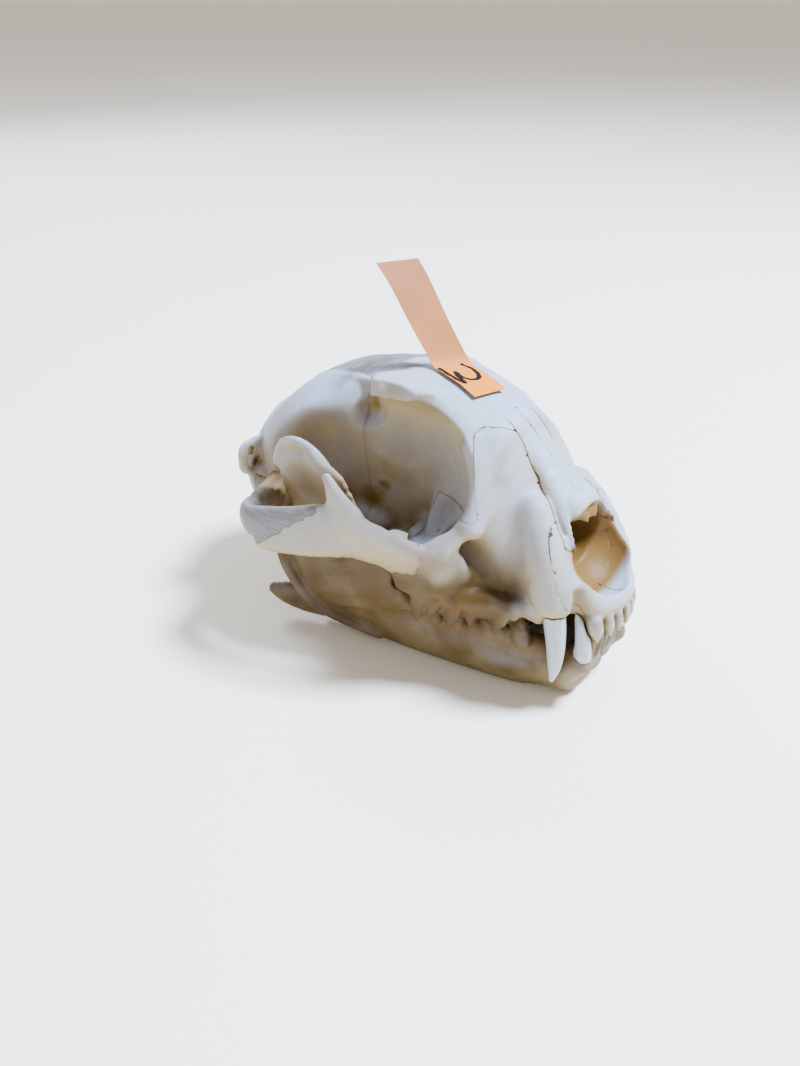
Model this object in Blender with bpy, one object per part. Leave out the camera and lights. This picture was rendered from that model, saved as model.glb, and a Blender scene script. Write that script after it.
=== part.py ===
"""Caracal skull with its lower jaw and a loose paper strip: closed solids, one per bone."""
import math
import bpy
import bmesh
from mathutils import Vector
import numpy as np
# ---------------------------------------------------------------- field helpers (millimetres)
def smin(a, b, k):
    h = np.clip(0.5 + 0.5 * (b - a) / k, 0.0, 1.0)
    return b + (a - b) * h - k * h * (1.0 - h)
def smax(a, b, k):
    return -smin(-a, -b, k)
def ball(p, c, r, pitch=0.0, yaw=0.0, roll=0.0):
    x, y, z = p[0] - c[0], p[1] - c[1], p[2] - c[2]
    if yaw:
        s, t = np.sin(np.radians(yaw)), np.cos(np.radians(yaw)); x, y = t * x + s * y, -s * x + t * y
    if pitch:
        s, t = np.sin(np.radians(pitch)), np.cos(np.radians(pitch)); y, z = t * y + s * z, -s * y + t * z
    if roll:
        s, t = np.sin(np.radians(roll)), np.cos(np.radians(roll)); x, z = t * x + s * z, -s * x + t * z
    a = np.sqrt((x / r[0]) ** 2 + (y / r[1]) ** 2 + (z / r[2]) ** 2) + 1e-6
    b = np.sqrt((x / r[0] ** 2) ** 2 + (y / r[1] ** 2) ** 2 + (z / r[2] ** 2) ** 2) + 1e-9
    return a * (a - 1.0) / b
def rod(p, a, b, ra, rb):
    a, b = np.array(a, float), np.array(b, float)
    d = b - a; L = float(d @ d)
    t = np.clip(((p[0] - a[0]) * d[0] + (p[1] - a[1]) * d[1] + (p[2] - a[2]) * d[2]) / L, 0, 1)
    return np.sqrt((p[0] - a[0] - t * d[0]) ** 2 + (p[1] - a[1] - t * d[1]) ** 2 + (p[2] - a[2] - t * d[2]) ** 2) - (ra + (rb - ra) * t)
def spline(points, n):
    """Catmull-Rom through the rows of points, n steps per span."""
    q = np.array(points, float); q = np.vstack([2 * q[0] - q[1], q, 2 * q[-1] - q[-2]])
    out = []
    for i in range(1, len(q) - 2):
        for s in range(n):
            t = s / n
            out.append(0.5 * ((2 * q[i]) + (q[i + 1] - q[i - 1]) * t + (2 * q[i - 1] - 5 * q[i] + 4 * q[i + 1] - q[i + 2]) * t * t
                              + (3 * q[i] - q[i - 1] - 3 * q[i + 1] + q[i + 2]) * t ** 3))
    out.append(q[-2]); return np.array(out)
KEPT = {}
def bars(stations, side, n):
    """The straight pieces of a strap, worked out once: ends, directions and bounding corners."""
    key = (stations, side, n)
    if key not in KEPT:
        q = spline(stations, n); out = []
        for a, b in zip(q[:-1], q[1:]):
            d = b[:3] - a[:3]; L = np.linalg.norm(d); d = d / L
            s = np.array(side(0.5 * (a[:3] + b[:3])) if callable(side) else side, float)
            s = s - d * (s @ d); s /= np.linalg.norm(s); r = max(a[3], a[4], b[3], b[4])
            out.append((a, b, d, L, s, np.cross(d, s), np.minimum(a[:3], b[:3]) - r, np.maximum(a[:3], b[:3]) + r))
        KEPT[key] = (out, np.min([o[6] for o in out], 0), np.max([o[7] for o in out], 0))
    return KEPT[key]
def strap(p, stations, side, n=3, k=0.0, power=2.0):
    """A flat or round bar through stations (x, y, z, half width across side, half height); side is the thin direction."""
    segs, slo, shi = bars(stations, side, n); out = None
    lo = np.array([np.min(v) for v in p]); hi = np.array([np.max(v) for v in p])
    far = float(np.linalg.norm(np.maximum(0, np.maximum(slo - hi, lo - shi))))
    if far > 7.0:   # too far off to matter for these points
        return far
    for a, b, d, L, s, u, alo, ahi in segs:
        if out is not None and np.linalg.norm(np.maximum(0, np.maximum(alo - hi, lo - ahi))) > float(out.max()) + k:
            continue
        X, Y, Z = p[0] - a[0], p[1] - a[1], p[2] - a[2]
        l = X * d[0] + Y * d[1] + Z * d[2]; t = np.clip(l / L, 0, 1)
        w = a[3] + (b[3] - a[3]) * t; h = a[4] + (b[4] - a[4]) * t
        e = l - t * L
        f = (X * s[0] + Y * s[1] + Z * s[2]); g = (X * u[0] + Y * u[1] + Z * u[2])
        m = np.minimum(w, h)
        if power == 2.0:
            r = np.sqrt((f / w) ** 2 + (g / h) ** 2 + (e / m) ** 2) + 1e-6
            gr = np.sqrt((f / w ** 2) ** 2 + (g / h ** 2) ** 2 + (e / m ** 2) ** 2) + 1e-9
            v = r * (r - 1.0) / gr
        else:
            r = ((np.abs(f) / w) ** power + (np.abs(g) / h) ** power + (np.abs(e) / m) ** power) ** (1 / power) + 1e-6
            v = (r - 1.0) * m
        out = v if out is None else (np.minimum(out, v) if k == 0 else smin(out, v, k))
    return out
def curve(y, ys, vs):
    """Smooth interpolation of vs over ys (monotone stations), flat outside."""
    key = (tuple(ys), tuple(vs))
    if key not in KEPT:
        KEPT[key] = (np.array(ys, float), np.array(vs, float), np.gradient(np.array(vs, float), np.array(ys, float)))
    ys, vs, m = KEPT[key]
    i = np.clip(np.searchsorted(ys, y) - 1, 0, len(ys) - 2)
    h = ys[i + 1] - ys[i]; t = np.clip((y - ys[i]) / h, 0, 1)
    return ((1 + 2 * t) * (1 - t) ** 2 * vs[i] + t * (1 - t) ** 2 * h * m[i] + t * t * (3 - 2 * t) * vs[i + 1] + t * t * (t - 1) * h * m[i + 1])
def loft(p, ys, half, top, low, power=2.0, mid=None, cap=99.0):
    """A body along y: half widths, top and bottom heights at the stations ys, section a super-ellipse; cap is the longest end."""
    x, y, z = p
    yc = np.clip(y, ys[0], ys[-1])
    w = curve(yc, ys, half); t = curve(yc, ys, top); b = curve(yc, ys, low)
    c = 0.5 * (t + b) if mid is None else curve(yc, ys, mid)
    h = np.where(z > c, t - c, c - b)
    e = y - yc
    m = np.minimum(np.minimum(w, h), cap)
    X, Z, E = np.abs(x) / w, np.abs(z - c) / h, np.abs(e) / m
    q = (X ** power + Z ** power + E ** power) ** (1 / power) + 1e-6
    gx = X ** (power - 1) / w; gz = Z ** (power - 1) / h; ge = E ** (power - 1) / m
    g = np.sqrt(gx ** 2 + gz ** 2 + ge ** 2) * q ** (1 - power) + 1e-9
    return (q - 1.0) / np.maximum(g, 0.5 / np.maximum(w, h))

# ---------------------------------------------------------------- cranium (x taken as its absolute value)
def out_of(q):   # the direction away from the mid line, for the arch
    return (1.0, -0.012 * (q[1] - 12.0) * 1.0, 0.0)

def cranium(p):
    X = p[0]; x = np.abs(X); y, z = p[1], p[2]; q = (x, y, z)
    # brain case
    f = loft(q, (3, 9, 17, 25, 32, 39, 43, 46), (15.2, 17.6, 23.4, 27.0, 26.2, 22.8, 19.4, 15.8), (73.6, 73.0, 72.0, 70.2, 67.0, 61.6, 57.4, 53.8),
             (46, 41, 36.5, 34.5, 33.5, 33.5, 34, 36), 2.15, mid=(60, 57, 53, 50, 48.5, 47.5, 46.5, 46))
    # front bone, roof between the orbits
    roof = loft(q, (-27, -21, -15, -8, -1, 6, 12), (10.8, 13.6, 14.2, 14.6, 15.8, 13.2, 9.0), (69.2, 72.0, 73.8, 74.6, 74.6, 73.6, 72.0),
                (56, 58, 61, 63, 63, 62, 60), 2.7, mid=(59.5, 64.6, 67.8, 70.4, 71.2, 70.2, 68.0), cap=4.0)
    f = smin(f, roof, 2.5)
    # wall between the orbits
    wall = loft(q, (-30, -22, -12, -2, 6, 13), (15, 12.6, 11.2, 11.6, 13.6, 15.0), (66, 69, 71, 72, 72, 71), (29, 28, 27, 27, 28, 31), 3.2, cap=4.0)
    f = smin(f, wall, 4.0)
    # snout: upper jaw bones
    snout = loft(q, (-51, -46, -39, -33, -28, -23, -17), (12.2, 13.2, 14.8, 18.6, 21.6, 22.4, 20.0), (44.5, 50.0, 58.0, 64.5, 69.6, 71.5, 72.0),
                 (24, 24, 24, 24, 24, 24, 24), 2.05, mid=(34, 35, 37, 39, 40, 40, 42), cap=6.5)
    snout = smax(snout, 28.2 - z + 0.22 * np.clip(-48 - y, 0, 12), 1.0)
    f = smin(f, snout, 3.0)
    gums = loft(q, (-52, -46, -39, -31, -24, -18, -13), (14.2, 14.6, 15.2, 19.2, 23.0, 25.4, 24.8), (40, 41, 42, 44, 44, 42, 40), (29.6, 25.6, 27.0, 27.0, 26.8, 27.0, 28.2), 3.4)
    f = smin(f, gums, 3.0)
    # bridge of the nose
    nose = loft(q, (-43.5, -40, -36, -30, -25), (6.6, 6.0, 5.2, 4.6, 4.2), (56.0, 59.4, 63.2, 68.0, 71.0), (38, 42, 47, 52, 55), 3.0, mid=(50.0, 53.5, 57.5, 62.5, 65.5))
    f = smin(f, nose, 1.6)
    # root swelling of the canine
    f = smin(f, strap(q, ((14.0, -49.2, 33.0, 3.9, 4.3), (13.0, -47.2, 38.6, 4.3, 5.2), (11.4, -43.6, 45.5, 4.2, 5.0), (9.8, -39.6, 52.0, 3.4, 4.0)), (1, 0, 0), 3), 3.6)
    # front of the upper jaw with the incisor rim
    f = smin(f, ball(q, (0, -55.2, 31.0), (10.0, 6.6, 4.8), pitch=-10), 2.4)
    f = smax(f, -ball(q, (12.0, -55.8, 27.6), (2.8, 3.4, 5.8)), 1.0)
    f = smin(f, strap(q, ((6.6, -56.6, 31.6, 2.6, 2.8), (8.7, -53.6, 36.2, 1.8, 2.4), (9.6, -50.2, 41.0, 1.4, 2.2), (9.6, -47.0, 46.6, 1.2, 2.2)), (1, 0, 0), 3), 1.4)
    # cheek root over the carnassial
    f = smin(f, ball(q, (24.6, -18.6, 35.6), (5.8, 12.0, 8.8), yaw=-20), 3.5)
    f = smin(f, strap(q, ((14.1, -46.2, 27.6, 2.2, 2.2), (15.8, -40.0, 29.4, 2.6, 2.4), (19.4, -33.0, 29.2, 2.8, 2.6), (23.2, -26.0, 29.2, 2.8, 2.6), (25.4, -19.0, 29.8, 2.4, 2.4), (24.8, -13.5, 30.6, 2.0, 2.0)), (1, 0.3, 0), 3), 2.0)
    # hollows: orbit, then temple behind it
    f = smin(f, strap(q, ((11.4, -20.0, 66.4, 2.4, 2.2), (12.8, -23.6, 63.0, 2.6, 2.4), (14.6, -27.0, 58.6, 2.8, 2.6), (16.6, -29.6, 53.6, 3.0, 3.0), (20.2, -29.8, 48.6, 3.0, 3.0)), (1, 0.6, 0), 3), 3.0)
    f = smax(f, -ball(q, (24.6, -10.2, 60.0), (14.1, 20.6, 20.0)), 0.35)
    f = smax(f, -ball(q, (26.0, -9.0, 53.0), (14.5, 17.0, 13.5)), 2.0)
    f = smax(f, -ball((-X, y, z), (18.6, 5.4, 66.0), (5.6, 6.5, 4.8)), 1.0)
    f = smax(f, -ball(q, (31.5, 10.0, 52.0), (16.0, 19.0, 22.0)), 4.0)
    f = smax(f, -ball(q, (28.5, 3.0, 35.0), (13.0, 17.0, 12.0)), 3.0)
    f = smin(f, ball(q, (11.5, 12.0, 32.4), (5.6, 9.0, 5.2)), 3.0)
    # rim of the orbit
    f = smin(f, strap(q, ((13.4, -22.6, 64.2, 1.2, 1.4), (15.4, -26.0, 60.0, 1.3, 1.6), (17.8, -28.5, 55.0, 1.4, 1.8), (20.8, -28.6, 48.8, 1.8, 2.2), (26.6, -24.8, 43.0, 2.4, 2.8)), (1, 0.6, 0), 3), 1.6)
    # cheek bone
    arch = strap(q, ((22.5, -28.5, 39.5, 2.6, 5.0), (28.6, -22.4, 39.6, 2.4, 5.8), (34.4, -12.4, 43.4, 1.9, 6.4), (38.4, -3.0, 45.6, 1.8, 7.0),
                     (41.2, 5.6, 42.8, 1.8, 6.0), (42.9, 14.0, 39.2, 1.7, 4.2), (43.2, 19.0, 36.6, 1.4, 2.6)), out_of, 3, power=2.4)
    arch = smin(arch, strap((-X, y, z), ((36.9, -6.0, 50.0, 1.6, 4.2), (37.8, -3.0, 55.0, 1.3, 2.8), (38.0, -0.6, 59.2, 0.9, 1.2)), (1, 0, 0), 3), 1.4)
    arch = smin(arch, strap((X, y, z), ((36.9, -6.0, 50.0, 1.6, 4.2), (37.6, -4.0, 53.0, 1.3, 2.8), (37.8, -2.6, 55.8, 0.9, 1.2)), (1, 0, 0), 3), 1.4)
    temple = strap(q, ((39.6, 2.8, 49.6, 1.1, 1.3), (41.4, 8.0, 46.9, 1.6, 2.6), (42.6, 15.0, 43.4, 1.9, 4.0), (42.6, 22.0, 40.6, 2.2, 4.6), (39.4, 26.8, 39.6, 2.6, 4.2),
                       (33.0, 29.0, 39.8, 3.4, 3.6), (25.0, 30.0, 40.5, 5.0, 4.6)), out_of, 3)
    arch = smin(arch, temple, 0.6)
    f = smin(f, arch, 2.2)
    # joint hollow and the wing behind it
    f = smin(f, strap(q, ((22.0, 28.8, 38.2, 3.4, 3.2), (30.0, 28.6, 36.4, 2.4, 2.4), (37.6, 27.6, 37.2, 2.0, 1.8)), (0, 1, 0), 2), 1.6)
    # process over the orbit: whole on the left, broken short on the right
    right = strap((-X, y, z), ((7.0, -7.0, 72.6, 6.6, 2.3), (10.8, -1.0, 73.3, 6.8, 2.2), (14.4, 5.6, 72.5, 6.6, 2.1), (17.4, 11.0, 71.8, 5.4, 2.0)), (0.87, -0.49, 0), 2, power=3.2)
    right = smax(right, (-X - 13.7) * 0.437 + (y - 6.6) * 0.90 + (z - 72) * 0.1, 0.3)
    right = smax(right, (-X - 15.4) * 0.96 + (z - 71.4) * 0.25, 0.4)
    f = smin(f, right, 0.5)
    left = strap((X, y, z), ((9.0, -5.0, 71.6, 5.0, 2.6), (14.0, -0.4, 71.4, 3.8, 2.0), (19.6, 2.0, 68.2, 2.4, 1.6), (24.0, 4.0, 63.6, 1.1, 1.0)), (0.6, -0.8, 0), 3)
    f = smin(f, left, 1.4)
    # lines from the process to the back
    f = smin(f, strap(q, ((14.2, 2.4, 72.4, 1.2, 0.9), (11.8, 7.0, 72.4, 0.9, 0.8), (9.0, 17.0, 70.2, 0.8, 0.7), (6.2, 30.0, 66.2, 0.8, 0.7), (2.0, 42.0, 57.8, 0.9, 0.8)), (1, 0, 0), 3), 1.8)
    # crests
    crest = strap(q, ((0.0, 48.6, 53.2, 1.2, 2.6), (8.0, 47.6, 51.8, 1.2, 2.6), (15.0, 45.2, 48.6, 1.1, 2.5), (20.4, 43.8, 45.6, 1.1, 2.4), (23.9, 44.2, 42.6, 1.1, 2.8),
                      (23.4, 41.0, 37.0, 1.7, 2.4)), (0, 0.35, 1), 3)
    f = smin(f, crest, 2.0)
    f = smin(f, ball(q, (22.0, 38.5, 37.0), (4.2, 6.0, 6.5)), 2.0)
    f = smin(f, strap(q, ((20.6, 44.0, 47.4, 1.6, 2.2), (23.8, 45.2, 45.8, 1.8, 2.8), (24.8, 44.6, 41.6, 1.6, 2.2)), (0.3, 1, 0), 3), 1.2)
    # back of the skull, joint knobs and the great opening
    f = smin(f, ball(q, (0, 42.6, 44.8), (21.0, 5.8, 10.5)), 3.0)
    f = smax(f, -ball(q, (10.5, 53.6, 46.6), (9.0, 6.2, 7.0)), 2.0)
    f = smin(f, ball(q, (8.4, 47.8, 38.0), (4.3, 5.0, 5.8), yaw=25), 1.6)
    f = smin(f, strap(q, ((16.0, 42.5, 35.0, 2.6, 3.2), (17.0, 44.0, 30.4, 1.7, 2.0)), (0, 1, 0), 1), 1.5)
    # ear capsules
    f = smin(f, ball(q, (14.4, 33.4, 32.8), (8.0, 11.4, 9.0), yaw=14), 1.0)
    f = smax(f, -strap(q, ((20.5, 32.5, 36.2, 1.9, 2.3), (27.5, 33.6, 36.4, 2.2, 2.8)), (0, 1, 0), 1), 0.5)
    # groove between the canine and the incisors, for the tip of the lower canine
    f = smax(f, -strap(q, ((11.6, -57.6, 24.0, 1.8, 2.6), (12.2, -56.8, 31.0, 1.6, 2.6), (12.6, -55.4, 37.0, 0.9, 1.8)), (1, 0, 0), 2), 2.0)
    # floor: hollow behind the palate, palate hollow
    f = smax(f, -ball(q, (0, 4.0, 29.0), (7.4, 18.0, 9.0)), 1.0)
    f = smax(f, -ball(q, (0, -32.0, 24.2), (11.8, 27.0, 5.8)), 1.5)
    f = smin(f, strap(q, ((9.2, 6.0, 31.0, 1.2, 3.2), (8.4, 13.0, 31.0, 0.9, 2.6)), (1, 0, 0), 1), 1.2)
    f = smax(f, -ball(q, (0, 52.5, 42.6), (6.6, 16.0, 5.4)), 0.8)
    # nose opening
    f = smax(f, -ball(q, (0, -54.6, 42.0), (10.5, 8.8, 9.8), pitch=-30), 0.6)
    f = smax(f, -ball(q, (0, -45.0, 44.0), (7.6, 15.0, 7.8), pitch=-20), 0.8)
    # nose bones: a roof over the opening, with a point on each side
    ys = (-52.5, -49, -46, -42, -36, -30, -25)
    half, top, mid = (9.7, 9.2, 8.5, 7.1, 5.6, 4.6, 4.0), (47.6, 51.8, 54.8, 58.4, 63.8, 68.4, 70.8), (43.6, 45.6, 48.0, 52.0, 57.6, 62.6, 65.6)
    groove = 0.6 * np.exp(-(x / 2.2) ** 2)
    shell = loft((x, y, z + groove), ys, half, top, tuple(m - 8 for m in mid), 2.6, mid=mid, cap=2.0)
    edge = curve(x, (0, 2.0, 4.5, 6.4, 7.8, 9.4), (-49.0, -49.6, -48.2, -47.2, -49.0, -52.0))
    shell = smax(smax(shell, -(shell + 2.0), 0.3), np.maximum(edge - y, 45.4 - z + 0.5 * (y + 50)), 0.5)
    f = smin(f, shell, 0.5)
    # recess and opening below the orbit
    f = smax(f, -strap(q, ((17.4, -41.0, 35.2, 0.9, 4.0), (18.9, -35.8, 38.0, 1.6, 4.4), (19.8, -30.6, 41.0, 2.2, 3.6), (21.0, -25.0, 43.5, 1.9, 2.6)), (1, 0.3, 0), 3), 3.4)
    return f

# ---------------------------------------------------------------- teeth (x taken as its absolute value)
def horn(p, stations, n=5):
    return strap(p, stations, (1, 0, 0), n)
def upper_canine(p):
    q = (np.abs(p[0]), p[1], p[2])
    return horn(q, ((13.8, -48.8, 33.5, 2.6, 3.0), (14.0, -50.3, 28.3, 2.45, 2.85), (14.4, -51.6, 22.0, 2.15, 2.45), (14.4, -52.0, 15.5, 1.6, 1.8), (13.9, -51.4, 10.0, 0.6, 0.65)))
def lower_canine(p):
    q = (np.abs(p[0]), p[1], p[2])
    return horn(q, ((7.6, -52.4, 9.5, 2.3, 2.6), (8.7, -55.6, 15.2, 2.2, 2.5), (9.9, -56.6, 20.5, 1.85, 2.1), (10.2, -55.6, 25.4, 1.3, 1.45), (9.9, -53.9, 29.2, 0.55, 0.55)))
def cusp(q, base, tip, w, l, n=2):
    """Blade cusp: base and tip points, half width across, half length along the row at the base."""
    b, t = np.array(base, float), np.array(tip, float); m = 0.5 * (b + t)
    return strap(q, ((*b, w, l), (*m, 0.8 * w, 0.8 * l), (*t, 0.45, 0.8)), (0.9, 0.42, 0), n)
def upper_teeth(p):
    q = (np.abs(p[0]), p[1], p[2])
    f = None
    for c in (((1.9, -60.0, 28.4), (1.8, -61.4, 23.8), 1.35, 1.6), ((5.0, -59.2, 28.4), (4.9, -60.8, 23.6), 1.45, 1.7), ((8.3, -57.6, 28.6), (8.2, -59.2, 22.8), 1.8, 2.1)):
        v = strap(q, ((*c[0], c[2], c[3]), (*(0.5 * (np.array(c[0]) + c[1])), c[2], c[3] * 0.95), (*c[1], 0.55, 0.6)), (1, 0, 0), 2)
        f = v if f is None else np.minimum(f, v)
    for b, t, w, l in (((17.2, -37.6, 28.0), (19.2, -37.0, 21.4), 2.3, 4.0), ((18.4, -33.6, 28.0), (19.8, -33.8, 24.6), 2.2, 2.8), ((16.6, -41.2, 28.6), (17.4, -41.0, 25.6), 1.8, 2.2),
                       ((20.4, -31.0, 28.0), (21.7, -31.4, 22.0), 2.3, 2.8), ((22.4, -26.6, 28.0), (24.1, -26.8, 20.7), 2.6, 4.2), ((25.0, -22.0, 28.4), (26.3, -21.4, 22.2), 2.3, 4.2),
                       ((26.4, -19.2, 28.6), (27.5, -19.0, 20.6), 2.0, 3.2), ((17.6, -29.4, 28.4), (17.8, -29.0, 25.0), 2.0, 2.0), ((23.0, -14.6, 28.6), (22.6, -14.2, 25.6), 2.6, 1.4)):
        f = np.minimum(f, cusp(q, b, t, w, l))
    return f
def lower_teeth(p):
    q = (np.abs(p[0]), p[1], p[2])
    f = None
    for c in (((1.3, -56.8, 15.2), (1.25, -58.4, 23.6), 1.05, 1.4), ((3.5, -56.6, 15.2), (3.5, -58.1, 23.8), 1.1, 1.5), ((5.7, -55.8, 15.4), (5.9, -57.2, 23.8), 1.2, 1.6)):
        v = strap(q, ((*c[0], c[2], c[3]), (*(0.5 * (np.array(c[0]) + c[1])), c[2], c[3] * 0.9), (*c[1], 0.5, 0.5)), (1, 0, 0), 2)
        f = v if f is None else np.minimum(f, v)
    for b, t, w, l in (((14.2, -41.6, 18.5), (14.8, -41.6, 25.2), 2.3, 3.9), ((14.8, -38.2, 17.6), (15.0, -38.0, 20.6), 1.6, 2.0),
                       ((16.0, -33.0, 17.8), (16.2, -33.0, 23.8), 2.0, 3.4), ((15.4, -36.2, 17.8), (15.6, -36.2, 21.4), 1.6, 1.8), ((17.0, -29.6, 17.8), (17.0, -29.4, 21.4), 1.6, 1.8),
                       ((18.4, -25.0, 18.0), (18.6, -25.6, 23.8), 2.1, 3.2), ((20.2, -19.0, 18.0), (20.2, -18.2, 25.0), 2.1, 3.6)):
        f = np.minimum(f, cusp(q, b, t, w, l))
    return f

# ---------------------------------------------------------------- lower jaw
def jaw(p):
    q = (np.abs(p[0]), p[1], p[2]); x, y, z = q
    f = strap(q, ((3.6, -48.6, 9.4, 3.4, 7.6), (7.0, -48.4, 9.4, 4.4, 9.2), (10.8, -41.6, 10.2, 4.2, 10.0), (13.9, -32.0, 10.0, 4.2, 9.4), (16.8, -20.0, 10.2, 4.1, 9.8), (19.6, -8.0, 10.6, 3.7, 10.2),
                  (21.8, 2.0, 11.2, 3.0, 10.6), (23.6, 11.0, 11.6, 2.3, 10.2), (24.8, 18.0, 11.4, 1.8, 9.2)), (1.0, 0.25, -0.2), 3)
    f = smin(f, ball(q, (3.2, -49.4, 10.6), (5.4, 4.2, 8.2), pitch=-38), 2.6)
    f = smin(f, ball(q, (0, -42.6, 9.0), (9.0, 8.6, 5.6), pitch=-30), 3.0)
    # gum swelling of the lower canine and the row between
    f = smin(f, strap(q, ((7.4, -48.6, 6.6, 3.2, 4.0), (8.6, -55.3, 15.0, 3.0, 3.9)), (1, 0, 0), 1), 2.0)
    f = smin(f, ball(q, (2.8, -54.4, 13.8), (5.0, 2.8, 4.4), pitch=-30), 2.0)
    # rising branch and its top
    f = smin(f, strap(q, ((23.2, -6.0, 17.0, 2.2, 9.0), (25.4, -0.5, 25.0, 1.8, 11.0), (27.6, 5.6, 35.0, 1.5, 12.0), (29.6, 10.6, 45.0, 1.3, 11.4), (30.8, 13.6, 52.0, 1.1, 9.4), (31.2, 15.0, 57.0, 0.9, 5.4)), (1, 0.1, -0.15), 3, k=1.5, power=2.8), 2.0)
    f = smin(f, strap(q, ((25.6, 12.0, 13.0, 1.7, 12.6), (28.2, 16.6, 24.0, 1.8, 12.4), (29.6, 20.6, 31.5, 1.8, 8.6)), (1, 0.1, -0.15), 3, k=1.5, power=2.8), 4.0)
    f = smin(f, ball(q, (30.6, 15.0, 53.6), (1.2, 9.8, 7.2)), 0.8)
    f = smax(f, -ball(q, (34.4, 14.6, 48.0), (3.0, 8.2, 10.6)), 1.2)
    # front ridge of the branch
    f = smin(f, strap(q, ((21.0, -19.0, 18.6, 2.0, 1.6), (24.0, -13.4, 22.5, 1.8, 1.6), (26.6, -8.2, 29.0, 1.4, 1.5), (28.4, -3.6, 37.0, 1.2, 1.3), (30.0, 1.0, 46.0, 1.0, 1.2), (31.0, 4.6, 53.4, 0.9, 1.1),
                      (31.4, 9.4, 58.8, 0.8, 1.0), (31.2, 15.6, 60.6, 0.8, 1.0), (30.8, 21.6, 58.4, 0.7, 0.9), (30.2, 25.0, 52.0, 0.7, 0.9)), (1, 0, 0), 3), 1.6)
    # joint head
    f = smin(f, strap(q, ((24.0, 25.6, 31.4, 2.4, 2.2), (31.0, 25.2, 31.8, 2.9, 2.8), (37.6, 24.2, 32.4, 2.2, 2.0)), (0, 1, 0), 2), 1.2)
    # corner and its hook
    f = smin(f, strap(q, ((25.0, 17.0, 8.6, 1.8, 5.6), (27.0, 23.0, 8.0, 1.8, 5.0), (29.0, 28.0, 8.2, 1.9, 3.6), (30.2, 31.0, 9.0, 1.5, 2.0)), (1, 0.1, 0), 2), 1.6)
    # lower and rear ridge round the muscle hollow
    f = smin(f, strap(q, ((22.4, -2.0, 4.6, 1.6, 1.6), (24.6, 8.0, 5.6, 1.6, 1.7), (27.0, 16.0, 8.0, 1.6, 1.8), (28.6, 21.5, 12.6, 1.5, 1.6), (30.0, 25.4, 20.0, 1.5, 1.6), (30.4, 26.4, 28.0, 1.6, 1.8)), (1, 0.1, 0), 3), 1.6)
    return f
def mandible(p):
    return smin(jaw(p), lower_teeth(p), 0.5)
def upper(p):
    q = (np.abs(p[0]), p[1], p[2])
    wall = strap(q, ((17.6, -37.6, 26.8, 1.5, 3.0), (20.2, -31.6, 26.6, 1.5, 3.0), (23.0, -26.4, 26.4, 1.6, 3.2), (25.6, -21.0, 26.6, 1.6, 3.2)), (0.9, 0.42, 0), 3)
    return smin(smin(cranium(p), wall, 1.2), upper_teeth(p), 0.8)

# ---------------------------------------------------------------- mesh of a field
def nets(V, o, h):
    """Dual mesh of the zero level of V (inside negative): vertices and quads."""
    S = V < 0
    c = S[:-1, :-1, :-1].astype(np.int8)
    c = c + S[1:, :-1, :-1] + S[:-1, 1:, :-1] + S[:-1, :-1, 1:] + S[1:, 1:, :-1] + S[1:, :-1, 1:] + S[:-1, 1:, 1:] + S[1:, 1:, 1:]
    I = np.argwhere((c > 0) & (c < 8))
    idx = -np.ones(c.shape, np.int32); idx[I[:, 0], I[:, 1], I[:, 2]] = np.arange(len(I))
    C = [(a, b, d) for a in (0, 1) for b in (0, 1) for d in (0, 1)]
    val = np.stack([V[I[:, 0] + a, I[:, 1] + b, I[:, 2] + d] for a, b, d in C], 1)
    P = np.zeros((len(I), 3)); n = np.zeros(len(I))
    for i in range(8):
        for j in range(i + 1, 8):
            d = np.array(C[j]) - np.array(C[i])
            if np.abs(d).sum() != 1:
                continue
            a, b = val[:, i], val[:, j]; m = (a < 0) != (b < 0)
            t = np.where(m, a / np.where(m, a - b, 1), 0)
            P += m[:, None] * (np.array(C[i]) + t[:, None] * d); n += m
    P = P / n[:, None] + I
    Q = []
    for ax in range(3):
        u, v = (ax + 1) % 3, (ax + 2) % 3
        a = [slice(None)] * 3; b = [slice(None)] * 3
        a[ax] = slice(None, -1); b[ax] = slice(1, None)
        A, B = S[tuple(a)], S[tuple(b)]
        E = np.argwhere(A != B)
        E = E[(E[:, u] > 0) & (E[:, v] > 0) & (E[:, u] < V.shape[u] - 1) & (E[:, v] < V.shape[v] - 1)]
        flip = ~A[E[:, 0], E[:, 1], E[:, 2]]
        q = []
        for du, dv in ((-1, -1), (0, -1), (0, 0), (-1, 0)):
            e = E.copy(); e[:, u] += du; e[:, v] += dv
            q.append(idx[e[:, 0], e[:, 1], e[:, 2]])
        q = np.stack(q, 1); q[flip] = q[flip][:, ::-1]
        Q.append(q)
    return P * h + np.array(o), np.vstack(Q)

def spread(fn, P, size=12.0):
    """fn at the rows of P, worked out block by block."""
    k = np.floor(P / size).astype(np.int64) + 50
    key = (k[:, 0] * 200 + k[:, 1]) * 200 + k[:, 2]
    order = np.argsort(key, kind='stable'); cuts = np.flatnonzero(np.diff(key[order])) + 1
    out = np.empty(len(P))
    for idx in np.split(order, cuts):
        if len(idx):
            out[idx] = fn(tuple(np.ascontiguousarray(P[idx].T)))
    return out

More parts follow.
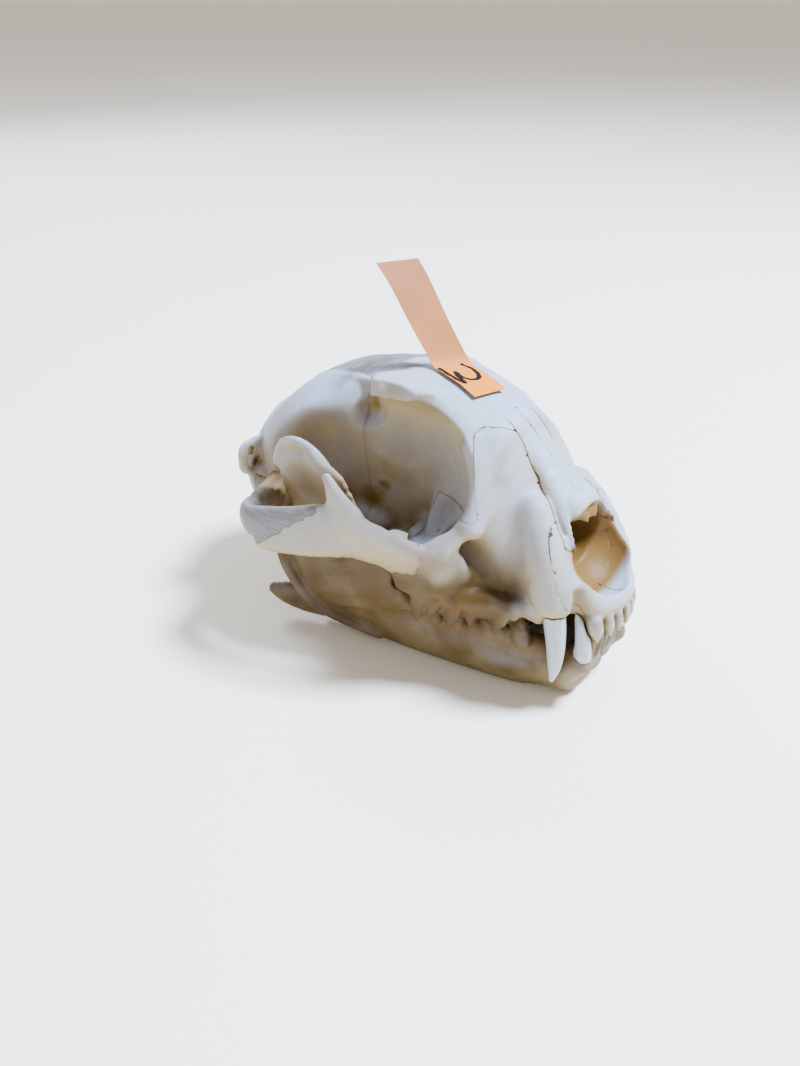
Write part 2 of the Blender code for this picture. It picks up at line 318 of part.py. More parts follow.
def grid(fn, lo, hi, h, coarse=4):
    """Values of fn on a grid, worked out finely only near the surface."""
    lo = np.array(lo, float); hi = np.array(hi, float)
    n = np.ceil((hi - lo) / h).astype(int) + 1
    n = ((n + coarse - 1) // coarse) * coarse + 1
    H = h * coarse
    ax = [lo[i] + H * np.arange((n[i] - 1) // coarse + 1) for i in range(3)]
    G = np.meshgrid(*ax, indexing='ij')
    C = spread(fn, np.stack([g.ravel() for g in G], 1), 18.0).reshape(G[0].shape)
    V = np.repeat(np.repeat(np.repeat(C, coarse, 0), coarse, 1), coarse, 2)
    V = np.where(V < 0, -9.0, 9.0)[:n[0], :n[1], :n[2]]
    near = np.abs(C) < H * 1.9
    m = near[:-1, :-1, :-1] | near[1:, :-1, :-1] | near[:-1, 1:, :-1] | near[:-1, :-1, 1:] | near[1:, 1:, :-1] | near[1:, :-1, 1:] | near[:-1, 1:, 1:] | near[1:, 1:, 1:]
    K = np.argwhere(m)
    r = np.arange(coarse + 1)
    O = np.stack(np.meshgrid(r, r, r, indexing='ij'), -1).reshape(-1, 3)
    J = (K[:, None, :] * coarse + O[None]).reshape(-1, 3)
    key = np.unique((J[:, 0] * n[1] + J[:, 1]) * n[2] + J[:, 2])
    i, r = np.divmod(key, n[1] * n[2]); j, k = np.divmod(r, n[2])
    V[i, j, k] = spread(fn, np.stack([lo[0] + h * i, lo[1] + h * j, lo[2] + h * k], 1))
    return V, lo

def well(V):
    """Fills the corners where the inside would meet itself only along an edge or at a point."""
    V = V.copy(); inside = -1e-3
    for turn in range(60):
        S = V < 0; todo = []
        for ax in range(3):
            u, v = [k for k in range(3) if k != ax]
            def part(a, b):
                s = [slice(None)] * 3
                s[u] = slice(1, None) if a else slice(None, -1); s[v] = slice(1, None) if b else slice(None, -1)
                return tuple(s)
            A, B, C, D = (S[part(0, 0)], S[part(1, 1)], S[part(1, 0)], S[part(0, 1)])
            for i in np.argwhere((A == B) & (C == D) & (A != C)):
                c = []
                for a, b in ((0, 0), (1, 1), (1, 0), (0, 1)):
                    j = i.copy(); j[u] += a; j[v] += b; j = tuple(j)
                    if not S[j]:
                        c.append((V[j], j))
                todo.append(min(c)[1])
        T = {}
        for a in (0, 1):
            for b in (0, 1):
                for c in (0, 1):
                    T[a, b, c] = S[a:S.shape[0] - 1 + a, b:S.shape[1] - 1 + b, c:S.shape[2] - 1 + c]
        n = sum(t.astype(np.int8) for t in T.values())
        for a, b, c in ((0, 0, 0), (1, 0, 0), (0, 1, 0), (0, 0, 1)):
            p, q = T[a, b, c], T[1 - a, 1 - b, 1 - c]
            for i in np.argwhere(((n == 2) & p & q) | ((n == 6) & ~p & ~q)):
                todo += [(i[0] + x, i[1] + y, i[2] + z) for x in (0, 1) for y in (0, 1) for z in (0, 1)]
        if not todo:
            break
        for j in todo:
            if V[j] >= 0:
                V[j] = inside
    return V

# ---------------------------------------------------------------- scene
MM = 0.001                 # the fields above are in millimetres
GAP = 0.3                  # joint between neighbouring bones, mm
STEP = 1.0                 # grid step of the bones, mm
CLEAR = 0.9                # least space between lower and upper jaw, mm
FOOT = 0.9                 # height at which the lower jaw is worn flat, mm
SHIFT = (0.0, 3.55, -FOOT) # puts the foot of the bounding box at the origin, mm
CRANIUM_FACES = 3500
JAW_FACES = 800
FANG_FACES = 90

for o in list(bpy.data.objects):
    bpy.data.objects.remove(o, do_unlink=True)

def material(name, colour, rough):
    m = bpy.data.materials.new(name); m.use_nodes = True
    b = m.node_tree.nodes['Principled BSDF']
    b.inputs['Base Color'].default_value = (*colour, 1.0)
    b.inputs['Roughness'].default_value = rough
    b.inputs['Metallic'].default_value = 0.0
    return m

BONE = (0.80, 0.77, 0.70)
TOOTH = (0.86, 0.85, 0.80)

def link(name, me):
    ob = bpy.data.objects.new(name, me); bpy.context.scene.collection.objects.link(ob); return ob

def solid(name, fn, lo, hi, h, faces):
    """A closed triangle mesh of the zero level of fn, thinned to about the given number of faces."""
    V, o = grid(fn, lo, hi, h)
    P, Q = nets(well(V), o, h)
    me = bpy.data.meshes.new(name); me.from_pydata((P * MM).tolist(), [], Q.tolist()); me.update()
    ob = link(name, me)
    keep_largest(ob)
    bm = bmesh.new(); bm.from_mesh(ob.data)
    bmesh.ops.triangulate(bm, faces=bm.faces[:])
    bm.to_mesh(ob.data); n = len(bm.faces); bm.free()
    whole = ob.data
    for k in range(12):   # a touch more or less thinning where it leaves a pinched edge
        if n <= faces:
            break
        ob.data = whole.copy()
        d = ob.modifiers.new('thin', 'DECIMATE'); d.ratio = faces / n * (1 + 0.012 * (k + 1) // 2 * (-1) ** k)
        bake(ob)
        if pinched(ob.data) == 0:
            break
    return ob

def pinched(me):
    bm = bmesh.new(); bm.from_mesh(me)
    n = sum(1 for e in bm.edges if len(e.link_faces) != 2) + sum(1 for v in bm.verts if not v.is_manifold)
    bm.free(); return n

def bake(ob):
    dg = bpy.context.evaluated_depsgraph_get()
    me = bpy.data.meshes.new_from_object(ob.evaluated_get(dg)); ob.modifiers.clear()
    old = ob.data; ob.data = me; bpy.data.meshes.remove(old)

def islands(bm):
    seen, out = set(), []
    for f in bm.faces:
        if f in seen:
            continue
        todo, part = [f], []; seen.add(f)
        while todo:
            g = todo.pop(); part.append(g)
            for e in g.edges:
                for k in e.link_faces:
                    if k not in seen:
                        seen.add(k); todo.append(k)
        out.append(part)
    return out

def keep_largest(ob):
    bm = bmesh.new(); bm.from_mesh(ob.data)
    parts = islands(bm)
    if len(parts) > 1:
        parts.sort(key=lambda p: -sum(f.calc_area() for f in p))
        print(ob.name, 'drops', [round(sum(f.calc_area() for f in p) * 1e6, 2) for p in parts[1:6]], 'mm2')
        bmesh.ops.delete(bm, geom=[f for p in parts[1:] for f in p], context='FACES')
        bmesh.ops.delete(bm, geom=[v for v in bm.verts if not v.link_faces], context='VERTS')
        bm.to_mesh(ob.data)
    bm.free()

def boolean(ob, cutter, op):
    m = ob.modifiers.new('cut', 'BOOLEAN'); m.operation = op; m.solver = 'EXACT'; m.object = cutter
    bake(ob)

def cell(name, planes, off, side):
    """Convex region: every plane is (point, outward normal) for the left side; off moves the walls inward."""
    bm = bmesh.new(); bmesh.ops.create_cube(bm, size=300 * MM)
    for p, n in planes:
        n = Vector((n[0] * side, n[1], n[2])).normalized(); p = Vector((p[0] * side, p[1], p[2]))
        bmesh.ops.bisect_plane(bm, geom=bm.verts[:] + bm.edges[:] + bm.faces[:], plane_co=(p - n * off) * MM, plane_no=n, clear_outer=True)
        rim = [e for e in bm.edges if e.is_boundary]
        if rim:
            bmesh.ops.contextual_create(bm, geom=rim)
    bmesh.ops.recalc_face_normals(bm, faces=bm.faces[:])
    me = bpy.data.meshes.new(name); bm.to_mesh(me); bm.free()
    ob = link(name, me); ob.hide_render = True; ob.display_type = 'WIRE'
    return ob

def copy(ob, name):
    c = ob.copy(); c.data = ob.data.copy(); c.name = name; bpy.context.scene.collection.objects.link(c); return c

def drop(ob):
    me = ob.data; bpy.data.objects.remove(ob, do_unlink=True); bpy.data.meshes.remove(me)

def region(cells, off, side):
    obs = [cell('region%d' % i, c, off, side) for i, c in enumerate(cells)]
    for o in obs[1:]:
        boolean(obs[0], o, 'UNION'); drop(o)
    return obs[0]

def take(rest, name, cells, side=1):
    """Cut the region out of rest as a bone of its own, leaving a fine joint."""
    inner = region(cells, GAP / 2, side); outer = region(cells, -GAP / 2, side)
    piece = copy(rest, name)
    boolean(piece, inner, 'INTERSECT'); boolean(rest, outer, 'DIFFERENCE')
    drop(inner); drop(outer)
    keep_largest(piece); keep_largest(rest)
    return piece

def tidy(ob):
    for dist in (0.00004, 0.00002, 0.000008, 0.000002, 0.0):
        bm = bmesh.new(); bm.from_mesh(ob.data)
        if dist:
            bmesh.ops.remove_doubles(bm, verts=bm.verts[:], dist=dist)
            bmesh.ops.dissolve_degenerate(bm, edges=bm.edges[:], dist=dist)
        bmesh.ops.triangulate(bm, faces=bm.faces[:])
        bmesh.ops.recalc_face_normals(bm, faces=bm.faces[:])
        if dist == 0.0 or not any(len(e.link_faces) != 2 for e in bm.edges):
            bm.to_mesh(ob.data); bm.free(); break
        bm.free()

# bones of the head
UPPER = solid('braincase', upper, (-48, -66, 17), (48, 60, 81), STEP, CRANIUM_FACES)

NOSE_ENDS = [((0, -26.4, 70), (0, 1, 0.1)), ((0, -36.0, 57.6), (0, 0.66, -0.75)), ((0.0, 0, 0), (-1, 0, 0)), ((0, -54, 44.0), (0, -0.2, -1))]
NASAL = [((4.9, -29.5, 68.8), (1, 0.051, 0.051))] + NOSE_ENDS
NASAL_TIP = [((6.5, -40.2, 57.9), (1, 0.217, 0.217))] + NOSE_ENDS
PREMAX = [((12.3, -45.4, 50.7), (0.0, 0.905, -0.427)), ((0.0, 0, 0), (-1, 0, 0))]
MAX_UP = [((12.8, -23.8, 67.3), (0.479, 0.861, -0.174)), ((9.6, -25.0, 69.2), (-0.767, 0.536, 0.35)), ((11.3, -24.0, 68.7), (-0.2, 0.972, 0.122)), ((0, 0, 44), (0, 0, -1)), ((0.0, 0, 0), (-1, 0, 0))]
MAX_LOW = [((0, -11.5, 30), (0, 1, 0.12)), ((0, 0, 47.6), (0, 0.1, 1)), ((0.0, 0, 0), (-1, 0, 0))]
CHEEK = [((29.0, -20.0, 42), (-0.80, -0.58, -0.05)), ((26, 0, 0), (-1, 0, 0)), ((0, 0, 33), (0, -0.2, -1))]
JUGAL_TIP = CHEEK + [((0, 1.2, 0), (0, 1, 0))]
JUGAL_REAR = CHEEK + [((41.5, 2.6, 49.0), (0.0, 0.62, 0.78))]
TEMPORAL = [((28.9, 24, 52.5), (-1.0, 0, 0.339)), ((0, 0.5, 0), (0, -1, 0)), ((0, 40.0, 40), (0, 1, -0.1)), ((0, 0, 30.0), (0, 0, -1))]
BULLA = [((0, 0, 32.0), (0, 0, 1)), ((0, 22, 0), (0, -1, 0)), ((0, 46, 0), (0, 1, 0)), ((5, 0, 0), (-1, 0, 0)), ((24.5, 0, 0), (1, 0, 0))]
FACE = [((0, 8.0, 60), (0, 1, 0.0)), ((0.0, 0, 0), (-1, 0, 0))]
BACK = [((0, 44.0, 50), (0, -0.985, 0.171))]

bones = {}
for side, tag in ((1, 'left'), (-1, 'right')):
    bones['jugal_' + tag] = take(UPPER, 'jugal_' + tag, [JUGAL_TIP, JUGAL_REAR], side)
    bones['temporal_' + tag] = take(UPPER, 'temporal_' + tag, [TEMPORAL], side)
    bones['ear_capsule_' + tag] = take(UPPER, 'ear_capsule_' + tag, [BULLA], side)
for side, tag in ((1, 'left'), (-1, 'right')):
    face = take(UPPER, 'frontal_' + tag, [FACE], side)
    bones['nasal_' + tag] = take(face, 'nasal_' + tag, [NASAL, NASAL_TIP], side)
    bones['premaxilla_' + tag] = take(face, 'premaxilla_' + tag, [PREMAX], side)
    bones['maxilla_' + tag] = take(face, 'maxilla_' + tag, [MAX_UP, MAX_LOW], side)
    bones['frontal_' + tag] = face
bones['occipital'] = take(UPPER, 'occipital', [BACK], 1)
bones['braincase'] = UPPER

# lower jaw, one half on each side, standing on flats
FREE = lambda p: smax(mandible(p), CLEAR - np.minimum(upper(p), upper_canine(p)), 0.2)
JAW = solid('mandible', FREE, (-42, -63, -3), (42, 38, 64), STEP, 2 * JAW_FACES)
HALF = [((0.0, 0, 0), (-1, 0, 0)), ((0, 0, FOOT - GAP / 2), (0, 0, -1))]
for side, tag in ((1, 'left'), (-1, 'right')):
    bones['mandible_' + tag] = take(JAW, 'mandible_' + tag, [HALF], side)
drop(JAW)

# the four long fangs stand out of their bones
def fang(fn, host):
    return lambda p: smax(fn(p), 0.55 - host(p), 0.1)
for tag, s in (('left', 1), ('right', -1)):
    x0, x1 = sorted((6 * s, 20 * s))
    bones['upper_canine_' + tag] = solid('upper_canine_' + tag, fang(upper_canine, upper), (x0, -58, 5), (x1, -43, 36), 0.5, FANG_FACES)
    x0, x1 = sorted((4.5 * s, 15.5 * s))
    bones['lower_canine_' + tag] = solid('lower_canine_' + tag, lambda p: smax(fang(lower_canine, mandible)(p), 0.5 - np.minimum(upper(p), upper_canine(p)), 0.1), (x0, -62, 8), (x1, -49, 33), 0.5, FANG_FACES)

# paper strip on the forehead: rows of (centre, across, half width)
STRIP = ((-1.75, -20.3, 73.0, 0.955, -0.290, 0.0, 4.6), (-0.7, -16.6, 73.8, 0.87, -0.49, -0.04, 4.8), (0.9, -10.8, 74.9, 0.81, -0.58, -0.02, 4.9), (2.4, -5.9, 76.0, 0.77, -0.64, 0.02, 4.9),
         (2.65, -3.4, 78.4, 0.75, -0.66, 0.06, 4.7), (1.15, 0.95, 86.0, 0.73, -0.68, 0.10, 4.75), (-0.6, 5.3, 94.6, 0.73, -0.68, 0.10, 4.9), (-2.0, 8.4, 99.9, 0.73, -0.68, 0.08, 5.1))
THICK = 0.35
rows = spline([tuple(r) for r in STRIP], 3)
verts, faces = [], []
N = 4
cen, acr = rows[:, :3], rows[:, 3:6]
tan = np.gradient(cen, axis=0)
for i in range(len(rows)):   # the strip lies on the forehead, never inside it
    a = acr[i] / np.linalg.norm(acr[i])
    for k in range(12):
        q = cen[i] + a * np.linspace(-1, 1, 7)[:, None] * rows[i, 6]
        cen[i, 2] += 0.8 * max(0.0, 0.85 - float(np.min(upper((q[:, 0], q[:, 1], q[:, 2])))))
tan = np.gradient(cen, axis=0)
for i in range(len(rows)):
    a = acr[i] / np.linalg.norm(acr[i]); t = tan[i] / np.linalg.norm(tan[i]); n = np.cross(a, t); n /= np.linalg.norm(n)
    for s in (1, -1):
        for j in range(N + 1):
            verts.append(cen[i] + a * (rows[i, 6] * (2 * j / N - 1)) + n * (s * THICK / 2))
W = 2 * (N + 1)
for i in range(len(rows) - 1):
    b, c = i * W, (i + 1) * W
    for j in range(N):
        faces += [(b + j, b + j + 1, c + j + 1, c + j), (b + N + 1 + j, c + N + 1 + j, c + N + 2 + j, b + N + 2 + j)]
    faces += [(b, c, c + N + 1, b + N + 1), (b + N, b + W - 1, c + W - 1, c + N)]
for k in (0, (len(rows) - 1) * W):
    for j in range(N):
        q = (k + j, k + j + 1, k + N + 2 + j, k + N + 1 + j)
        faces.append(q if k else q[::-1])
me = bpy.data.meshes.new('paper_label'); me.from_pydata((np.array(verts) * MM).tolist(), [], faces); me.update()
bones['paper_label'] = link('paper_label', me)

for name, ob in bones.items():
    tidy(ob)
    ob.name = name; ob.data.name = name
    for v in ob.data.vertices:
        v.co.x += SHIFT[0] * MM; v.co.y += SHIFT[1] * MM; v.co.z += SHIFT[2] * MM
    c, r = (TOOTH, 0.35) if 'canine' in name else (BONE, 0.6)
    if name == 'paper_label':
        c, r = (0.86, 0.60, 0.44), 0.85
    ob.data.materials.clear(); ob.data.materials.append(material(name, c, r))
lo = np.min([[min(v.co[k] for v in o.data.vertices) for k in range(3)] for o in bones.values()], 0)
hi = np.max([[max(v.co[k] for v in o.data.vertices) for k in range(3)] for o in bones.values()], 0)
print('bounds mm', (lo / MM).round(2), (hi / MM).round(2), 'faces', sum(len(o.data.polygons) for o in bones.values()), {n: len(o.data.polygons) for n, o in bones.items()})
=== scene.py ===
import bmesh
import bpy
import math
from mathutils import Vector, Matrix
import numpy as np


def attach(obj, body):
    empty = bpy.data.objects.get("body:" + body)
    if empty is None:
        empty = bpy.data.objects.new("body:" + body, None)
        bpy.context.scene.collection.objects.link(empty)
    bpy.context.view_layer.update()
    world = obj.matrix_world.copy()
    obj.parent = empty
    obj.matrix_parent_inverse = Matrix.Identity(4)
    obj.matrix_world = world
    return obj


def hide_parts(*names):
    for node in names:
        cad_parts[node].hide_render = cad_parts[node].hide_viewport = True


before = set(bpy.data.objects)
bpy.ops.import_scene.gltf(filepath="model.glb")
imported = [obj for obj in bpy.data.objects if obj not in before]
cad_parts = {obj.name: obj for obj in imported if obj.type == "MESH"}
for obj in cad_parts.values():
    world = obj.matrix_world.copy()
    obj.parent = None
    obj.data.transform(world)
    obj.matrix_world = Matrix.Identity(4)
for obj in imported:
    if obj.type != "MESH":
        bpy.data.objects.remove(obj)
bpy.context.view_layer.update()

# ---------------------------------------------------------------- field helpers (millimetres)
def smin(a, b, k):
    h = np.clip(0.5 + 0.5 * (b - a) / k, 0.0, 1.0)
    return b + (a - b) * h - k * h * (1.0 - h)
def smax(a, b, k):
    return -smin(-a, -b, k)
def ball(p, c, r, pitch=0.0, yaw=0.0, roll=0.0):
    x, y, z = p[0] - c[0], p[1] - c[1], p[2] - c[2]
    if yaw:
        s, t = np.sin(np.radians(yaw)), np.cos(np.radians(yaw)); x, y = t * x + s * y, -s * x + t * y
    if pitch:
        s, t = np.sin(np.radians(pitch)), np.cos(np.radians(pitch)); y, z = t * y + s * z, -s * y + t * z
    if roll:
        s, t = np.sin(np.radians(roll)), np.cos(np.radians(roll)); x, z = t * x + s * z, -s * x + t * z
    a = np.sqrt((x / r[0]) ** 2 + (y / r[1]) ** 2 + (z / r[2]) ** 2) + 1e-6
    b = np.sqrt((x / r[0] ** 2) ** 2 + (y / r[1] ** 2) ** 2 + (z / r[2] ** 2) ** 2) + 1e-9
    return a * (a - 1.0) / b
def rod(p, a, b, ra, rb):
    a, b = np.array(a, float), np.array(b, float)
    d = b - a; L = float(d @ d)
    t = np.clip(((p[0] - a[0]) * d[0] + (p[1] - a[1]) * d[1] + (p[2] - a[2]) * d[2]) / L, 0, 1)
    return np.sqrt((p[0] - a[0] - t * d[0]) ** 2 + (p[1] - a[1] - t * d[1]) ** 2 + (p[2] - a[2] - t * d[2]) ** 2) - (ra + (rb - ra) * t)
def spline(points, n):
    """Catmull-Rom through the rows of points, n steps per span."""
    q = np.array(points, float); q = np.vstack([2 * q[0] - q[1], q, 2 * q[-1] - q[-2]])
    out = []
    for i in range(1, len(q) - 2):
        for s in range(n):
            t = s / n
            out.append(0.5 * ((2 * q[i]) + (q[i + 1] - q[i - 1]) * t + (2 * q[i - 1] - 5 * q[i] + 4 * q[i + 1] - q[i + 2]) * t * t
                              + (3 * q[i] - q[i - 1] - 3 * q[i + 1] + q[i + 2]) * t ** 3))
    out.append(q[-2]); return np.array(out)
KEPT = {}
def bars(stations, side, n):
    """The straight pieces of a strap, worked out once: ends, directions and bounding corners."""
    key = (stations, side, n)
    if key not in KEPT:
        q = spline(stations, n); out = []
        for a, b in zip(q[:-1], q[1:]):
            d = b[:3] - a[:3]; L = np.linalg.norm(d); d = d / L
            s = np.array(side(0.5 * (a[:3] + b[:3])) if callable(side) else side, float)
            s = s - d * (s @ d); s /= np.linalg.norm(s); r = max(a[3], a[4], b[3], b[4])
            out.append((a, b, d, L, s, np.cross(d, s), np.minimum(a[:3], b[:3]) - r, np.maximum(a[:3], b[:3]) + r))
        KEPT[key] = (out, np.min([o[6] for o in out], 0), np.max([o[7] for o in out], 0))
    return KEPT[key]
def strap(p, stations, side, n=3, k=0.0, power=2.0):
    """A flat or round bar through stations (x, y, z, half width across side, half height); side is the thin direction."""
    segs, slo, shi = bars(stations, side, n); out = None
    lo = np.array([np.min(v) for v in p]); hi = np.array([np.max(v) for v in p])
    far = float(np.linalg.norm(np.maximum(0, np.maximum(slo - hi, lo - shi))))
    if far > 7.0:   # too far off to matter for these points
        return far
    for a, b, d, L, s, u, alo, ahi in segs:
        if out is not None and np.linalg.norm(np.maximum(0, np.maximum(alo - hi, lo - ahi))) > float(out.max()) + k:
            continue
        X, Y, Z = p[0] - a[0], p[1] - a[1], p[2] - a[2]
        l = X * d[0] + Y * d[1] + Z * d[2]; t = np.clip(l / L, 0, 1)
        w = a[3] + (b[3] - a[3]) * t; h = a[4] + (b[4] - a[4]) * t
        e = l - t * L
        f = (X * s[0] + Y * s[1] + Z * s[2]); g = (X * u[0] + Y * u[1] + Z * u[2])
        m = np.minimum(w, h)
        if power == 2.0:
            r = np.sqrt((f / w) ** 2 + (g / h) ** 2 + (e / m) ** 2) + 1e-6
            gr = np.sqrt((f / w ** 2) ** 2 + (g / h ** 2) ** 2 + (e / m ** 2) ** 2) + 1e-9
            v = r * (r - 1.0) / gr
        else:
            r = ((np.abs(f) / w) ** power + (np.abs(g) / h) ** power + (np.abs(e) / m) ** power) ** (1 / power) + 1e-6
            v = (r - 1.0) * m
        out = v if out is None else (np.minimum(out, v) if k == 0 else smin(out, v, k))
    return out
def curve(y, ys, vs):
    """Smooth interpolation of vs over ys (monotone stations), flat outside."""
    key = (tuple(ys), tuple(vs))
    if key not in KEPT:
        KEPT[key] = (np.array(ys, float), np.array(vs, float), np.gradient(np.array(vs, float), np.array(ys, float)))
    ys, vs, m = KEPT[key]
    i = np.clip(np.searchsorted(ys, y) - 1, 0, len(ys) - 2)
    h = ys[i + 1] - ys[i]; t = np.clip((y - ys[i]) / h, 0, 1)
    return ((1 + 2 * t) * (1 - t) ** 2 * vs[i] + t * (1 - t) ** 2 * h * m[i] + t * t * (3 - 2 * t) * vs[i + 1] + t * t * (t - 1) * h * m[i + 1])
def loft(p, ys, half, top, low, power=2.0, mid=None, cap=99.0):
    """A body along y: half widths, top and bottom heights at the stations ys, section a super-ellipse; cap is the longest end."""
    x, y, z = p
    yc = np.clip(y, ys[0], ys[-1])
    w = curve(yc, ys, half); t = curve(yc, ys, top); b = curve(yc, ys, low)
    c = 0.5 * (t + b) if mid is None else curve(yc, ys, mid)
    h = np.where(z > c, t - c, c - b)
    e = y - yc
    m = np.minimum(np.minimum(w, h), cap)
    X, Z, E = np.abs(x) / w, np.abs(z - c) / h, np.abs(e) / m
    q = (X ** power + Z ** power + E ** power) ** (1 / power) + 1e-6
    gx = X ** (power - 1) / w; gz = Z ** (power - 1) / h; ge = E ** (power - 1) / m
    g = np.sqrt(gx ** 2 + gz ** 2 + ge ** 2) * q ** (1 - power) + 1e-9
    return (q - 1.0) / np.maximum(g, 0.5 / np.maximum(w, h))

# ---------------------------------------------------------------- cranium (x taken as its absolute value)
def out_of(q):   # the direction away from the mid line, for the arch
    return (1.0, -0.012 * (q[1] - 12.0) * 1.0, 0.0)

def cranium(p):
    X = p[0]; x = np.abs(X); y, z = p[1], p[2]; q = (x, y, z)
    # brain case
    f = loft(q, (3, 9, 17, 25, 32, 39, 43, 46), (15.2, 17.6, 23.4, 27.0, 26.2, 22.8, 19.4, 15.8), (73.6, 73.0, 72.0, 70.2, 67.0, 61.6, 57.4, 53.8),
             (46, 41, 36.5, 34.5, 33.5, 33.5, 34, 36), 2.15, mid=(60, 57, 53, 50, 48.5, 47.5, 46.5, 46))
    # front bone, roof between the orbits
    roof = loft(q, (-27, -21, -15, -8, -1, 6, 12), (10.8, 13.6, 14.2, 14.6, 15.8, 13.2, 9.0), (69.2, 72.0, 73.8, 74.6, 74.6, 73.6, 72.0),
                (56, 58, 61, 63, 63, 62, 60), 2.7, mid=(59.5, 64.6, 67.8, 70.4, 71.2, 70.2, 68.0), cap=4.0)
    f = smin(f, roof, 2.5)
    # wall between the orbits
    wall = loft(q, (-30, -22, -12, -2, 6, 13), (15, 12.6, 11.2, 11.6, 13.6, 15.0), (66, 69, 71, 72, 72, 71), (29, 28, 27, 27, 28, 31), 3.2, cap=4.0)
    f = smin(f, wall, 4.0)
    # snout: upper jaw bones
    snout = loft(q, (-51, -46, -39, -33, -28, -23, -17), (12.2, 13.2, 14.8, 18.6, 21.6, 22.4, 20.0), (44.5, 50.0, 58.0, 64.5, 69.6, 71.5, 72.0),
                 (24, 24, 24, 24, 24, 24, 24), 2.05, mid=(34, 35, 37, 39, 40, 40, 42), cap=6.5)
    snout = smax(snout, 28.2 - z + 0.22 * np.clip(-48 - y, 0, 12), 1.0)
    f = smin(f, snout, 3.0)
    gums = loft(q, (-52, -46, -39, -31, -24, -18, -13), (14.2, 14.6, 15.2, 19.2, 23.0, 25.4, 24.8), (40, 41, 42, 44, 44, 42, 40), (29.6, 25.6, 27.0, 27.0, 26.8, 27.0, 28.2), 3.4)
    f = smin(f, gums, 3.0)
    # bridge of the nose
    nose = loft(q, (-43.5, -40, -36, -30, -25), (6.6, 6.0, 5.2, 4.6, 4.2), (56.0, 59.4, 63.2, 68.0, 71.0), (38, 42, 47, 52, 55), 3.0, mid=(50.0, 53.5, 57.5, 62.5, 65.5))
    f = smin(f, nose, 1.6)
    # root swelling of the canine
    f = smin(f, strap(q, ((14.0, -49.2, 33.0, 3.9, 4.3), (13.0, -47.2, 38.6, 4.3, 5.2), (11.4, -43.6, 45.5, 4.2, 5.0), (9.8, -39.6, 52.0, 3.4, 4.0)), (1, 0, 0), 3), 3.6)
    # front of the upper jaw with the incisor rim
    f = smin(f, ball(q, (0, -55.2, 31.0), (10.0, 6.6, 4.8), pitch=-10), 2.4)
    f = smax(f, -ball(q, (12.0, -55.8, 27.6), (2.8, 3.4, 5.8)), 1.0)
    f = smin(f, strap(q, ((6.6, -56.6, 31.6, 2.6, 2.8), (8.7, -53.6, 36.2, 1.8, 2.4), (9.6, -50.2, 41.0, 1.4, 2.2), (9.6, -47.0, 46.6, 1.2, 2.2)), (1, 0, 0), 3), 1.4)
    # cheek root over the carnassial
    f = smin(f, ball(q, (24.6, -18.6, 35.6), (5.8, 12.0, 8.8), yaw=-20), 3.5)
    f = smin(f, strap(q, ((14.1, -46.2, 27.6, 2.2, 2.2), (15.8, -40.0, 29.4, 2.6, 2.4), (19.4, -33.0, 29.2, 2.8, 2.6), (23.2, -26.0, 29.2, 2.8, 2.6), (25.4, -19.0, 29.8, 2.4, 2.4), (24.8, -13.5, 30.6, 2.0, 2.0)), (1, 0.3, 0), 3), 2.0)
    # hollows: orbit, then temple behind it
    f = smin(f, strap(q, ((11.4, -20.0, 66.4, 2.4, 2.2), (12.8, -23.6, 63.0, 2.6, 2.4), (14.6, -27.0, 58.6, 2.8, 2.6), (16.6, -29.6, 53.6, 3.0, 3.0), (20.2, -29.8, 48.6, 3.0, 3.0)), (1, 0.6, 0), 3), 3.0)
    f = smax(f, -ball(q, (24.6, -10.2, 60.0), (14.1, 20.6, 20.0)), 0.35)
    f = smax(f, -ball(q, (26.0, -9.0, 53.0), (14.5, 17.0, 13.5)), 2.0)
    f = smax(f, -ball((-X, y, z), (18.6, 5.4, 66.0), (5.6, 6.5, 4.8)), 1.0)
    f = smax(f, -ball(q, (31.5, 10.0, 52.0), (16.0, 19.0, 22.0)), 4.0)
    f = smax(f, -ball(q, (28.5, 3.0, 35.0), (13.0, 17.0, 12.0)), 3.0)
    f = smin(f, ball(q, (11.5, 12.0, 32.4), (5.6, 9.0, 5.2)), 3.0)
    # rim of the orbit
    f = smin(f, strap(q, ((13.4, -22.6, 64.2, 1.2, 1.4), (15.4, -26.0, 60.0, 1.3, 1.6), (17.8, -28.5, 55.0, 1.4, 1.8), (20.8, -28.6, 48.8, 1.8, 2.2), (26.6, -24.8, 43.0, 2.4, 2.8)), (1, 0.6, 0), 3), 1.6)
